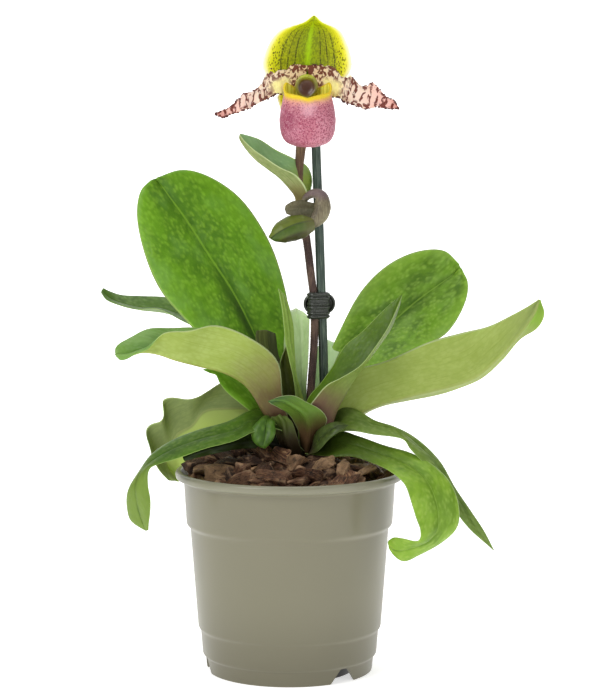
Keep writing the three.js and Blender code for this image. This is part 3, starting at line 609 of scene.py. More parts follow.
def under_skin(name, colours, base="4f3a30", stain=0.2, tip=None, keel="a9ae66", lobe=None,
               edge=0.75, margin=0.96, vein=0.5):
    """The underside: pale and matt, with fine veins lengthwise, the cells of the upper side
    showing through, a keel line on the midrib and a purple stain towards the base."""
    pale, deep = colours.split()
    skin = Blade(name)
    size, from_mid, along = skin.size, skin.from_mid, skin.along
    cloud = skin.cloud(size, (0.9, 0.6), 4, 0.6, 0.3)
    veins = skin.cloud(size, (11.0, 0.3), 3, 0.6)
    cell = skin.cells(size, (6.0, 3.6))
    speck = skin.cloud(size, (14.0, 9.0), 3, 0.6)
    skin.tone = skin.blend(skin.step(cloud, 0.3, 0.7, 0.15, 0.6), pale, deep)
    skin.wash(deep, veins, 0.5, 0.7, vein)
    skin.wash(deep, cell, 0.3, 0.7, 0.3)
    skin.wash(pale, speck, 0.56, 0.75, 0.22)
    if tip:
        skin.wash(tip, along, 0.55, 0.95, 0.8)
    # painted light: where given, a patch of one half is painted lighter, standing for light on it
    if lobe:
        code, first, last, start = lobe
        painted_light_patch = skin.times(skin.step(skin.side, first, last),
                           skin.step(along, start, start + 0.12), 0.85)
        skin.tint(painted_light_patch, code)
    skin.wash(keel, from_mid, 0.05, 0.015, 0.4)
    worn = skin.plus(along, skin.times(cloud, 0.2))
    skin.wash(base, worn, stain + 0.2, stain * 0.4 + 0.06, 0.9)
    skin.wash("bccb92", from_mid, margin, margin + 0.02, edge)
    return skin.surface(skin.step(speck, 0.2, 0.8, 0.46, 0.58),
                        skin.plus(veins, skin.times(speck, 0.4)), 0.1, leaf_flesh,
                        Specular_IOR_Level=0.25)


leaf_thickness, swell_depth = (1.8, 0.9), 0.9


def make_leaf(name, rails, upper_colours, under_colours, upper={}, under={}, stands_in=True,
              **shape):
    """A whole leaf from its rails, its colours and what its two skins and its sheet are like.
    stands_in says whether the frame has a solid for it."""
    grid, u, t, half, run = blade_sheet(rails, **shape)
    seed = sum(ord(letter) for letter in name)
    for k, row in enumerate(grid):
        for point in row:
            x, y, z = point
            swell = noise.noise(Vector((x * 0.06, y * 0.06, z * 0.06 + seed)))
            point[1] += swell_depth * swell * min(1.0, t[k] * 4)
    skins = [upper_skin(name + "_upper", upper_colours, **upper),
             under_skin(name + "_under", under_colours, **under)]
    piece = blade_mesh(name + "_blade", grid, u, t, half, run, leaf_thickness, skins)
    settle(piece, "leaf", *([name] if stands_in else []))


make_leaf("leaf_back_left", [
    (2.5, 3, 115, 5.5, 10, 114, 9.5, 13, 114.5), (-10.5, 6, 137.5, -3, 16, 137.5, 4, 21, 139),
    (-32, 10, 160.5, -15, 27, 165.5, 1.5, 30, 171), (-53, 17, 181, -30, 34, 196, -2.5, 37, 198.5),
    (-69, 24, 199, -42.5, 39, 214.5, -11.5, 43, 224.5),
    (-78.5, 33, 220.5, -56.5, 43.5, 235.5, -27.5, 47, 247.5),
    (-82, 39, 239.5, -66, 45.5, 248.5, -46, 48, 259.5),
    (-80, 42, 251, -70, 46.5, 254, -58.5, 47.5, 262),
    (-75, 45, 256.5, -73.5, 46, 257, -71.5, 46, 258),
], "396208 5f9012 8cba34 406c12", "94ab5c 74903c", arch=1.8, upper=dict(patches=0.62, painted_sheen=0.2,
    painted_shade=0.75, rib=0.42, shade=0.9, painted_bluish_sheen="6f9a50"))
make_leaf("leaf_back_right", [
    (8, 11, 115.5, 14, 12, 114, 17.5, 8, 116), (10.5, 22, 134.5, 17, 22, 131.5, 23.5, 17, 131.5),
    (17.5, 32, 155, 26.5, 29, 149.5, 36.5, 22, 146.5),
    (27, 42, 175.5, 40, 41, 166.5, 56.5, 29, 159.5), (39, 50, 196.5, 56.5, 49, 179.5, 73, 36, 168),
    (54, 56, 210.5, 71, 55, 191.5, 85, 43, 174), (71, 60, 217.5, 83, 58, 199.5, 95, 49, 189.5),
    (84.5, 60, 217.5, 88.5, 59, 203.5, 97, 54, 200.5),
    (92.5, 58, 210.5, 93, 58, 209, 94, 57.5, 207.5),
], "3e6406 729e24 a0c64e 567818", "94ab5c 74903c", arch=1.6, upper=dict(dots=0.55, painted_sheen=0.4,
    painted_shade=0.7, rib=0.4, shade=0.5, painted_bluish_sheen="8aab5c"))
make_leaf("leaf_behind_stalk", [
    (3.5, 12, 115, 8.5, 15, 113.5, 14, 13, 114.5), (0, 18, 140.5, 7, 23, 140, 9, 19, 142),
    (-3, 22, 159, 6.5, 28, 160, 10, 24, 162.5), (-3, 27, 173, 6, 33, 174, 10.5, 30, 178),
    (-1.5, 32, 181, 5, 37, 181.5, 10.5, 34, 183), (-0.5, 37, 184.5, 4, 40, 185, 9.5, 38, 184),
    (-0.5, 46, 185.5, 3.5, 46, 186.5, 7, 44, 185.5), (0, 58, 184, 2, 58, 184.5, 5, 56, 184),
], "9ab87a bad496 cfe4ae b0ca8a", "94ab5c 74903c", upper=dict(dots=0.3, patches=0.4))
make_leaf("leaf_behind_stake", [
    (6.5, 12, 114.5, 12, 14, 114, 17, 12, 115), (10, 22, 140, 15, 25, 140.5, 20, 21, 143),
    (13, 30, 155.5, 18, 33, 156, 23.5, 28, 157.5), (14.5, 36, 164.5, 19, 38, 167, 27.5, 36, 165),
    (15, 42, 166.5, 20, 44, 169.5, 29.5, 42, 166.5), (16.5, 54, 164, 21, 55, 167, 28, 54, 164),
    (18, 66, 158, 21, 66, 160, 24, 65, 158),
], "a2c288 b6d49a c9e2ae acc88e", "94ab5c 74903c", stands_in=False, upper=dict(dots=0.3,
    patches=0.3))
make_leaf("leaf_far_left", [
    (4.5, 4, 116, 4, 10, 113, 10.5, 13, 115), (-17, 14, 150.5, -15.5, 26, 148, -7, 31, 153),
    (-41.5, 27, 173, -39, 40, 170.5, -30, 48, 176.5),
    (-58.5, 36, 181.5, -56, 50, 180.5, -52, 58, 188), (-71, 42, 187, -68.5, 54, 184, -68, 62, 192),
    (-83.5, 47, 186.5, -82, 57, 185.5, -81.5, 64, 192.5),
    (-93.5, 52, 188.5, -93, 60, 188, -93, 65, 193),
    (-100.5, 57, 191, -100.5, 61, 191.5, -100, 64, 195.5),
    (-103.5, 60, 194.5, -103.5, 61.5, 195.5, -102.5, 63, 197),
], "42601c 56762a 7c9a50 506c24", "8ba266 6d8a46", arch=0.8, under=dict(stain=0.05))
make_leaf("leaf_strip_centre", [
    (5, 4, 114.5, 7, 7, 114, 10.5, 8, 114), (3.5, 1, 142, 5, 4, 142, 7.5, 4, 142),
    (2, 0, 155, 2.5, 3, 154.5, 4, 3, 155), (0, 0, 163.5, 1.5, 3, 163.5, 3, 4, 164),
    (-2, 1, 172.5, 0, 4, 172.5, 2.5, 6, 173), (-3, 3, 181.5, -1, 6, 182, 2, 8, 181.5),
    (-4, 6, 190.5, -2.5, 8, 190.5, 0, 10, 190.5), (-5, 8, 196, -4, 10, 196, -2, 12, 196),
    (-6, 11, 200.5, -6, 11.5, 200.5, -5.5, 12, 200.5),
], "6f9030 8cab4a b0c46c 8f9f4c", "91a657 6d8238", groove=0.2, upper=dict(dots=0.25, patches=0.5),
    under=dict(stain=0.1))
make_leaf("leaf_inner_sheath", [
    (-3.5, 6, 121, 0.5, 9, 120.5, 5.5, 6, 121), (-3.5, 6, 144, 0, 10, 143.5, 5.5, 6, 144),
    (-5, 6, 155.5, -1.5, 10, 155, 3.5, 5, 155.5), (-5, 6, 162, -2.5, 9, 162.5, 1.5, 5, 163.5),
    (-2.5, 6, 169, -2, 6.5, 169.5, -1, 5, 169.5), (-1.5, 6, 171, -1.5, 6, 171, -1.5, 6, 171),
], "3f4616 545c22 6e7632 452620", "6d7a30 4a5420", stands_in=False, groove=0.3,
    upper=dict(dots=0.2), under=dict(stain=0.3))
make_leaf("leaf_right", [
    (19.5, 12, 117, 19, 4, 114.5, 12.5, 6, 119), (32, 15, 128, 28.5, 1, 127, 17, 4, 139.5),
    (44, 20, 134.5, 39.5, -1, 136, 29, 1, 156.5), (63, 19, 140, 58.5, -4, 143, 50, -2, 163.5),
    (86, 15, 146, 82, -7, 149, 73, -5, 174), (100.5, 9, 152, 96.5, -9, 154.5, 89.5, -7, 179),
    (110.5, 3, 163, 107.5, -10, 164, 103, -9, 182.5), (120, -2, 174, 115, -11, 173, 114, -11, 188),
    (128.5, -6, 181, 121, -12, 181.5, 123, -12, 193),
    (132, -9, 189.5, 126, -12, 189, 127.5, -12, 196),
    (130, -11, 196.5, 129, -12, 196.5, 129, -12, 197),
], "5d8420 7da334 9dbc52 6d8430", "a4b45f 84973c", groove=0.16, arch=1.5, wave=0.5, waves=4,
    # the lobe colour is painted light: a patch near the tip of one half's underside painted bright
    under=dict(base="76923a", tip="8a9858", stain=0.02, lobe=("86ac34", 0.52, 0.46, 0.74)))
make_leaf("leaf_left", [
    (5.5, 1, 118, 1.5, 4, 114, 4, 11, 117.5), (-3, -7, 142, -12.5, -8, 134.5, -5.5, 9, 141.5),
    (-6, -12, 164.5, -23, -14, 150.5, -14.5, 8, 162),
    (-20.5, -17, 177.5, -34, -19, 158, -30, 5, 173),
    (-37.5, -21, 184, -47, -22, 161.5, -43.5, 1, 179.5),
    (-51.5, -26, 182, -59, -25, 165.5, -57, -5, 181.5),
    (-64, -30, 180.5, -67.5, -26, 169, -68, -11, 182),
    (-72.5, -31, 173, -75, -27, 170.5, -77.5, -16, 180),
    (-79.5, -30, 169, -82.5, -28, 169, -84.5, -22, 176.5),
    (-86, -29, 167, -88, -28, 170, -88.5, -26, 173.5),
    (-88.5, -29, 168.5, -89, -28, 169.5, -89, -27.5, 171.5),
], "4f7c24 739a44 90b068 5f7c30", "b2c46c 8fa23c", groove=0.1, arch=1.2, wave=0.6, waves=5,
    upper=dict(dots=0.3), under=dict(base="6a413a", stain=0.26, keel="a99f50"))
make_leaf("leaf_young_folded", [
    (12, 7, 117.5, 21.5, 1, 115, 7.5, -3, 117), (7, 6, 134.5, 22.5, -5, 127.5, 7.5, -11, 135.5),
    (10, 4, 144, 25.5, -8, 138.5, 13.5, -16, 146), (16.5, 1, 152, 29.5, -9, 146.5, 19.5, -18, 153),
    (22.5, -2, 161, 34.5, -9, 155.5, 27, -19, 157),
    (28.5, -4, 171.5, 40, -9, 163.5, 36.5, -19, 163), (38, -5, 179.5, 46, -9, 172, 43, -19, 171),
    (46.5, -7, 188.5, 52.5, -10, 182, 50.5, -17, 182),
    (53.5, -8, 195, 56, -10, 192, 55.5, -13, 192), (58, -9, 199, 58.5, -9, 199.5, 58.5, -9.5, 199),
], "415c14 527214 7a962c 82a628", "8aa248 677a32", groove=0.08, upper=dict(dots=0.2, patches=0.6),
    under=dict(base="74484c", tip="6c7f56", stain=0.36))
# the near-black base colour of this leaf is painted shade
make_leaf("leaf_under_left", [
    (-2.5, -2, 114, 0, 3, 116, 4.5, 1, 119), (-17, -4, 134, -12.5, 1, 135, -7.5, 1, 140),
    (-26, -6, 142, -20, 0, 144, -14.5, 0, 149), (-32.5, -6, 147.5, -27, 0, 151, -20.5, 0, 156.5),
    (-36.5, -5, 152.5, -33, -1, 155.5, -28, -1, 161),
    (-38.5, -4, 156.5, -38, -2, 158.5, -36, -2, 161.5),
    (-41.5, -4, 157.5, -41.5, -3, 158.5, -41, -3, 160),
    (-45, -3, 159, -45, -3, 159, -45, -3, 159.5),
], "5c8a1c 74a62c 8fbc48 1f2a10", "9cac60 74873f")
make_leaf("leaf_wavy_left", [
    (7, 4, 118, 3, 7, 113, 5, 14, 113.5), (-14.5, 6, 144, -14.5, 12, 135, -11.5, 12, 130.5),
    (-31, 10, 151, -33, 18, 136, -26.5, 14, 128.5),
    (-44, 14, 146.5, -45.5, 24, 134, -39.5, 17, 123.5),
    (-55, 17, 140.5, -52.5, 30, 125.5, -46.5, 23, 115.5),
    (-67.5, 19, 140.5, -60.5, 34, 120, -52, 28, 109),
    (-69, 22, 129, -65, 38, 112.5, -55, 34, 102.5),
    (-76.5, 24, 123.5, -68.5, 40, 106.5, -57, 42, 97),
    (-75.5, 28, 111, -66.5, 41, 99.5, -58, 46, 93), (-65, 38, 94, -62, 41, 93.5, -59, 44, 93),
], "7a9a3a 93b24c aec868 5a6a30", "92a25c 74864a", arch=1.0, wave=1.6, waves=4,
    # the lobe colour is painted light: the right half's underside painted bright
    under=dict(base="4f5a2c", stain=0.16, lobe=("aec262", 0.5, 0.56, 0.1)))
make_leaf("leaf_front_left", [
    (8.5, -4, 116, 5, 1, 113, 5.5, 7, 117.5), (-5, -13, 129, -6, -6, 129, -6, 2, 136.5),
    (-17, -21, 129.5, -17.5, -12, 133, -19, -4, 138.5),
    (-28, -28, 125, -29.5, -20, 128.5, -32, -12, 133.5),
    (-43, -35, 122, -44.5, -27, 125.5, -47, -19, 129.5),
    (-55.5, -39, 118.5, -58, -33, 121.5, -61, -26, 124.5),
    (-65.5, -41, 115.5, -68.5, -37, 116, -71.5, -31, 118),
    (-70.5, -42, 112.5, -74.5, -39, 111, -77.5, -34, 108.5),
    (-71.5, -44, 105.5, -77.5, -40, 104, -82, -35, 100.5),
    (-70.5, -46, 97.5, -77, -40, 96, -83, -35, 92.5),
    (-70.5, -45, 89.5, -75, -40, 88.5, -81.5, -36, 85.5),
    (-71.5, -42, 81.5, -72.5, -41, 81, -73.5, -40, 81),
], "33520c 4c6f1a 7c9840 26380c", "8ea258 6d8238", arch=0.8, wave=0.4, upper=dict(dots=0.35,
    tip="7c943c"), under=dict(stain=0.05))
make_leaf("leaf_long_right", [
    (17, 6, 118.5, 17, 0, 113.5, 12, -4, 117), (25.5, 4, 138, 26.5, -4, 130.5, 23.5, -10, 126.5),
    (34, 0, 138.5, 34.5, -8, 133, 33, -15, 128.5),
    (44.5, -6, 132.5, 45, -13, 130.5, 44, -20, 127.5),
    (54, -11, 130, 53.5, -17, 129.5, 53.5, -24, 126.5),
    (62.5, -15, 127, 60.5, -20, 126, 59, -27, 125),
    (69.5, -18, 122, 66.5, -22, 121, 62, -29, 121.5),
    (78, -21, 112.5, 74.5, -25, 113.5, 70, -31, 113),
    (85, -23, 101, 81, -27, 101, 77.5, -32, 101.5), (93, -25, 89.5, 89.5, -28, 90, 85.5, -33, 89),
    (99.5, -27, 79.5, 96, -29, 79, 93, -32, 80), (105.5, -29, 68.5, 105, -29, 68.5, 105, -29, 68.5),
], "4e6a1c 6c8636 94a85c 44561a", "8ea258 6d8238", arch=0.6, wave=0.4, under=dict(stain=0.12))
make_leaf("leaf_front_right", [
    (15, 3, 119, 13, -1, 113.5, 8, -6, 115.5), (26, -4, 127, 23, -9, 119.5, 21, -15, 115),
    (35.5, -10, 125.5, 34, -15, 120.5, 32.5, -21, 116),
    (50, -17, 121, 47, -23, 117, 43.5, -30, 114),
    (63, -24, 118, 59.5, -31, 113.5, 50.5, -38, 111.5),
    (74, -30, 113, 68, -37, 108, 58, -45, 105.5), (82, -35, 105.5, 72.5, -42, 101, 61, -50, 99),
    (86, -39, 95, 75, -46, 92, 64, -53, 90), (85.5, -42, 83.5, 74.5, -49, 83.5, 66, -55, 83.5),
    (78, -44, 75.5, 70, -50, 78, 65, -55, 79), (66.5, -45, 69, 62.5, -49, 74, 57.5, -52, 79),
    (58, -45, 66, 55.5, -47, 72, 52.5, -48, 78.5),
    (51.5, -43, 71.5, 50.5, -43.5, 74, 50.5, -44, 76.5),
], "587e14 82a830 a8c458 374a12", "8f9a4c 727c34", arch=1.0, wave=0.4, upper=dict(dots=0.45,
    low=0.42), under=dict(stain=0.02))
make_leaf("leaf_front_short", [
    (14, 1, 115, 8.5, -3, 113.5, 5.5, 2, 115), (17, -8, 127, 10, -14, 127, 5, -8, 126),
    (19.5, -13, 134.5, 9.5, -19, 133.5, 2.5, -12, 132.5),
    (16, -16, 140, 7, -22, 138.5, -0.5, -16, 137.5), (9, -17, 144, 2.5, -24, 142.5, -5, -20, 141),
    (2.5, -19, 147.5, -2.5, -25, 145.5, -8, -23, 143),
    (-4.5, -22, 147.5, -7, -26, 146, -9.5, -25, 144),
    (-10.5, -26, 145.5, -11, -26, 145.5, -10.5, -26, 145),
], "3c5c1c 567c2a 749440 84584a", "6e9034 547624", groove=0.3, arch=1.5, upper=dict(dots=0.3),
    under=dict(base="5c3a2e", tip="486640", stain=0.38, keel="5f8430"))
# A leaf-shaped sheet painted nearly black, with no solid of its own: painted shade standing for
# shadowed leaf undersides beneath leaf_front_left.
make_leaf("old_leaf_base", [
    (1.5, -2, 113.5, 1.5, -3, 117, 0.5, -2, 122), (-12.5, -4, 117, -13.5, -5, 121, -15, -3, 127),
    (-22.5, -12, 119, -24, -13, 122, -26, -11, 127),
    (-32.5, -22, 119, -34.5, -23, 121.5, -37.5, -21, 125),
    (-44, -30, 117.5, -46, -31, 119.5, -48.5, -29, 122.5),
    (-53.5, -36, 116, -54, -36.5, 117, -54.5, -35, 119),
], "1b260a 2c3c12 3f5420 1a1a0c", "37481c 263410", stands_in=False, wave=1.2, upper=dict(edge=0.0,
    dots=0.1, rib=0.0), under=dict(base="1a1a0c", edge=0.0))
make_leaf("sheath_right", [
    (12, 2, 118, 10.5, -2, 114, 8.5, -7, 114.5), (13, -8, 126, 15, -13, 122, 15, -18, 118.5),
    (17, -13, 130.5, 20, -18, 127.5, 21, -22, 125.5),
    (23.5, -17, 133.5, 25.5, -20, 131.5, 26.5, -22, 129.5),
    (30.5, -19, 132.5, 30.5, -19, 132, 30.5, -19.5, 132),
], "2f3c18 465628 5f7434 403028", "66783a 4d6029", arch=0.6, upper=dict(edge=0.25),
    under=dict(edge=0.25))
make_leaf("sheath_left", [
    (7, -4, 114.5, 1.5, -3, 113, -3, 1, 115), (4, -11, 125, -2, -12, 124.5, -7, -8, 125),
    (1.5, -11, 132.5, -3.5, -13, 133.5, -8.5, -10, 131.5),
    (-1.5, -10, 135.5, -5, -12, 136, -9.5, -10, 135),
    (-2.5, -10, 136, -5.5, -11.5, 136.5, -8.5, -10, 135.5),
], "3c4a24 4d6029 66783a 3c2220", "687c34 4c5e24", arch=1.0, upper=dict(edge=0.2),
    under=dict(base="33201c", edge=0.2, stain=0.5, keel="4f5a2c"))
make_leaf("leaf_small_front", [
    (-0.5, -4, 122.5, -3, -3, 122, -5, -1, 123), (-6.5, -10, 131, -9.5, -9, 133, -12, -9, 135.5),
    (-7.5, -19, 132, -11.5, -17, 134, -16, -17, 134),
    (-7, -22, 129, -12, -20, 130, -19.5, -20, 130),
    (-8.5, -23, 125, -12.5, -22, 125.5, -19, -21, 124.5),
    (-11, -23, 122, -13, -22.5, 122, -15.5, -22, 121.5),
    (-12.5, -23, 120.5, -12.5, -23, 120.5, -12.5, -23, 120.5),
], "2c4a0c 45681a 668a34 36501c", "7b9440 53692a", groove=0.1, arch=1.2)

# The crown is the short stem that the leaves grow from, wrapped in their overlapping bases.
crown_wide, crown_deep = 12.5, 8
crown_rows = []
for z, share in ((88, 0.5), (96, 0.72), (104, 0.94), (110, 1), (117, 0.97), (121, 0.8), (122, 0.5)):
    ring = []
    for angle in bearings(72):
        rib = 1 + 0.05 * math.sin(5 * angle + z * 0.05) + 0.02 * math.sin(13 * angle)
        ring.append((crown_x + crown_wide * share * rib * math.cos(angle),
                     crown_y + crown_deep * share * rib * math.sin(angle), z))
    crown_rows.append(ring)
skin = Skin("leaf_bases")
spot = skin.place()
streak = skin.cloud(skin.scaled(spot, 1, 1, 0.12), 700, 4, 0.6)
skin.tone = skin.ramp(streak, (0.3, "2a1f18"), (0.5, "45402a"), (0.7, "5d6134"))
skin.wash("2a1a14", skin.parts(spot)[2], 0.12, 0.104, 0.7)
crown_material = skin.surface(0.6, streak, 0.6)
settle(new_piece("crown_bases", *skinned_rings(crown_rows), [crown_material]), "crown", "crown")

# Behind the centre leaves stands the dry, cut-off stalk of an earlier flower in its old sheath.
stub_rails = [
    (0, 5, 114, 4.5, 9, 114, 8.5, 10, 115), (-8, 7, 144.5, -3.5, 12, 146.5, 0, 12, 149.5),
    (-15.5, 8, 163, -11, 13, 164, -6, 14, 166), (-18, 9, 174.5, -12.5, 14, 175, -7, 14, 174),
    (-17.5, 10, 178.5, -12.5, 15, 178.5, -7.5, 15, 176.5),
]
skin = Skin("dry_sheath")
fibre = skin.cloud(skin.uv("size"), (9, 0.5), 4, 0.6)
skin.tone = skin.ramp(fibre, (0.3, "343c0c"), (0.5, "505a1a"), (0.72, "6a7434"))
skin.wash("30380c", skin.parts(skin.uv("share"))[0], 0.5, 0.62, 0.7)
stub_material = skin.surface(0.7, fibre, 0.3)
stub_piece = blade_mesh("dry_stalk_stub", *blade_sheet(stub_rails, 50, 19), (2.4, 1.2),
                        [stub_material] * 2)
settle(stub_piece, "dry_stub", "old_stalk_stub")

# ------------------------------------------------------------------ flower stalk
# One living stem rises from the crown to the flower. It is purple-brown with short pale hairs all
# over, as thick as a pencil lead's wooden case, and it bends a little to the clip and back.


def tube(path, radii, sides, steps, ribs=0, rib_depth=0.0):
    """Rings round a smooth path. radii are evenly spaced from its start to its end."""
    t = np.linspace(0, 1, steps + 1)
    centre = smooth_curve(path, t)
    tangent = unit(smooth_curve(path, t + 1e-3) - smooth_curve(path, t - 1e-3))
    radius = np.interp(t, np.linspace(0, 1, len(radii)), radii)
    side = np.cross(tangent[0], (0.31, 0.95, 0.05))
    rings = []
    for i in range(steps + 1):
        side = unit(side - tangent[i] * np.dot(side, tangent[i]))
        front = np.cross(tangent[i], side)
        ring = []
        for angle in bearings(sides):
            swell = radius[i] * (1 + rib_depth * math.cos(ribs * angle))
            out = math.cos(angle) * side + math.sin(angle) * front
            ring.append(tuple(centre[i] + swell * out))
        rings.append(ring)
    return rings


def stem(name, rings, reach, material):
    """A stem through the rings. Each end is drawn in over the last few hairs' breadths, so that
    it looks broken in, not sawn."""
    ends = []
    for ring, inward in ((rings[0], rings[1]), (rings[-1], rings[-2])):
        points = np.array(ring)
        middle = points.mean(axis=0)
        out = unit(middle - np.array(inward).mean(axis=0))
        ends.append([tuple(middle + (p - middle) * 0.6 + out * reach) for p in points])
    return new_piece(name, *skinned_rings([ends[0], *rings, ends[1]]), [material])


def add_hair(points, faces, root, out, lean, length, sink, foot):
    """One three-sided hair on a root that goes that deep, with a foot of that radius."""
    wide = unit(np.cross(lean, (0.3, 0.5, 0.8)))
    other = np.cross(lean, wide)
    k = len(points)
    for angle in (0, 2.1, 4.2):
        across = math.cos(angle) * wide + math.sin(angle) * other
        points.append(tuple(root - out * sink + foot * across))
    points.append(tuple(root + lean * length))
    faces += [(k, k + 1, k + 3), (k + 1, k + 2, k + 3), (k + 2, k, k + 3), (k + 2, k + 1, k)]


def leaning(out, how_far, draw):
    return unit(out + how_far * np.array([draw.gauss(0, 0.5) for _ in range(3)]))


def hairs(rings, count, draw):
    """Short hairs standing out of a stem, as points and faces."""
    points, faces = [], []
    for _ in range(count):
        i = draw.randrange(1, len(rings) - 2)
        j = draw.randrange(len(rings[0]))
        share = draw.random()
        ring, after = np.array(rings[i]), np.array(rings[i + 1])
        root = ring[j] * (1 - share) + after[j] * share
        out = unit(root - (ring.mean(axis=0) * (1 - share) + after.mean(axis=0) * share))
        lean = leaning(out, 0.5, draw)
        length = hair_length * draw.uniform(0.6, 1.2)
        add_hair(points, faces, root, out, lean, length, 0.1, 0.07)
    return points, faces


def stem_skin(name, colours, gloss=0.55, depth=0.25, top=None):
    dark, mid, light = colours.split()
    skin = Skin(name)
    spot = skin.place()
    streak = skin.cloud(skin.scaled(spot, 1, 1, 0.1), 1500, 3, 0.6)
    fuzz = skin.cloud(spot, 2600, 3, 0.7)
    mood = skin.math("MULTIPLY_ADD", skin.cloud(spot, 60, 3), 0.6, skin.times(streak, 0.4))
    skin.tone = skin.ramp(mood, (0.35, dark), (0.5, mid), (0.68, light))
    if top:
        code, start, full = top
        skin.wash(code, skin.parts(spot)[2], start, full, 0.8)
    skin.wash(light, fuzz, 0.56, 0.75, 0.35)
    return skin.surface(gloss, skin.plus(streak, fuzz), depth, Specular_IOR_Level=0.35)


stalk_path = [(9.5, 9, 110), (11, 10, 144), (13, 10, 173), (13, 10, 193), (11, 10, 210),
              (9, 10, 226), (6.5, 10, 240), (5.6, 10, 246)]
stalk_radius, hair_length = 2.05, 0.75
stalk_rings = tube(stalk_path, [stalk_radius], 28, 130)
stalk_material = stem_skin("hairy_stalk", "2c1f1c 46322d 77604f")
hair_material = stem_skin("stalk_hairs", "6d564b 8e7767 b8a592")
settle(stem("flower_stalk_stem", stalk_rings, 0.4, stalk_material), "stalk", "flower_stalk")
draw = random.Random(5)
settle(new_piece("flower_stalk_hairs", *hairs(stalk_rings, 2600, draw), [hair_material]), "stalk")

# ------------------------------------------------------------------ support stake
# A dark teal-green plastic cane, pushed into the bark beside the stalk. It is extruded with fine
# ribs along it, which catch the light as long lines.

stake_path = [(19, 19, 36), (19, 17.5, 118), (18.2, 16, 151), (17.5, 13.5, 178), (16.9, 12, 193),
              (16.1, 11.6, 216), (15.5, 12, 234), (14.7, 13, 253), (13.9, 14.5, 275),
              (13.5, 16, 296)]
stake_radius = 2.35
stake_rings = tube(stake_path, [stake_radius], 60, 120, ribs=10, rib_depth=0.07)
skin = Skin("stake_plastic")
scuff = skin.cloud(skin.scaled(skin.place(), 1, 1, 0.08), 1300, 4, 0.6)
skin.tone = skin.ramp(scuff, (0.3, "2b3b32"), (0.55, "43544a"), (0.8, "728070"))
stake_material = skin.surface(skin.step(scuff, 0.3, 0.8, 0.28, 0.5), scuff, 0.08)
settle(stem("support_cane", stake_rings, 0.5, stake_material), "stake", "support_stake")

# ------------------------------------------------------------------ clip
# A dark green plastic orchid clip holds the stalk to the stake. Its two jaws are ribbed shells
# that close round both stems, and two oval finger grips stand out behind them.

clip_x, clip_y, clip_z = 15.2, 11, 191.7
clip_turn = math.radians(24)
clip_span, clip_radius, clip_height = 4.8, 3.35, 14.0
clip_ribs, rib_out, rib_reach = (-5.8, -4.0, -1.0, 0.9, 4.0, 5.8), 0.62, 0.72


def clip_ring(level, grow):
    """A ring round both stems: a half circle round each, joined by straight sides."""
    ring = []
    for side in (0, 1):
        for k in range(17):
            angle = math.pi * (k / 16 + side - 0.5)
            x, y = spin(clip_span * (0.5 - side) + (clip_radius + grow) * math.cos(angle),
                        (clip_radius + grow) * math.sin(angle), clip_turn)
            ring.append((clip_x + x, clip_y + y, clip_z + level))
    return ring


clip_end = [(clip_height / 2 - 0.15, -0.1), (clip_height / 2, -0.5)]
clip_levels = [(-level, grow) for level, grow in reversed(clip_end)]
for level in np.linspace(-6.6, 6.6, 111):
    near = min(abs(level - rib) for rib in clip_ribs)
    clip_levels.append((level, rib_out * max(0.0, 1 - (near / rib_reach) ** 2) ** 0.5))
clip_rings = [clip_ring(*row) for row in clip_levels + clip_end]
skin = Skin("clip_plastic")
scuff = skin.cloud(skin.place(), 1800, 4, 0.6)
skin.tone = skin.ramp(scuff, (0.35, "23271f"), (0.6, "33372f"), (0.85, "646a5e"))
clip_material = skin.surface(skin.step(scuff, 0.3, 0.8, 0.24, 0.42), scuff, 0.05,
                             Coat_Weight=0.3, Coat_Roughness=0.15)
settle(new_piece("clip_jaws", *skinned_rings(clip_rings), [clip_material]), "clip", "clip")

# one grip from its back to its front: share of its full size, and depth
grip_front = [(0.62, 0.0), (0.72, 0.25), (0.78, 0.9), (0.86, 1.25), (0.95, 1.1), (1.0, 0.5)]
grip_profile = grip_front + [(share, -depth) for share, depth in reversed(grip_front)]
grip_wide, grip_high, grip_apart = 5.1, 5.4, 3.4
grip_points, grip_faces = [], []
for side in (-grip_apart, grip_apart):
    rings = []
    for share, depth in grip_profile:
        ring = []
        for angle in bearings(48):
            x, y = spin(grip_wide * share * math.cos(angle) + side, clip_radius - 1.5 + depth,
                        clip_turn / 2)
            ring.append((clip_x + 0.9 + x, clip_y + y,
                         clip_z + 0.8 + grip_high * share * math.sin(angle)))
        rings.append(ring)
    points, faces = skinned_rings(rings)
    start = len(grip_points)
    grip_points += points
    grip_faces += [tuple(start + i for i in face) for face in faces]
settle(new_piece("clip_grips", grip_points, grip_faces, [clip_material]), "clip")

# ------------------------------------------------------------------ ovary, bract and second bud
# Above the clip the stalk ends in the flower's ribbed ovary, with a pointed green bract folded
# round its foot. A second, unopened bud hangs from a hooked stem in its own dark sheath.

ovary_path = [(5.6, 10, 245.6), (5.4, 10, 249), (5, 10, 261), (6, 9.5, 275), (8, 8.5, 289),
              (9, 7, 298), (9.2, 5, 302)]
ovary_rings = tube(ovary_path, [1.9, 1.95, 2.0, 2.6, 2.7, 2.5, 2.3], 48, 80, ribs=6, rib_depth=0.06)
ovary_material = stem_skin("hairy_ovary", "573c30 7c6446 a08c60")
settle(stem("ribbed_ovary", ovary_rings, 0.3, ovary_material), "bract", "ovary")
settle(new_piece("ovary_hairs", *hairs(ovary_rings, 1500, draw), [hair_material]), "bract")

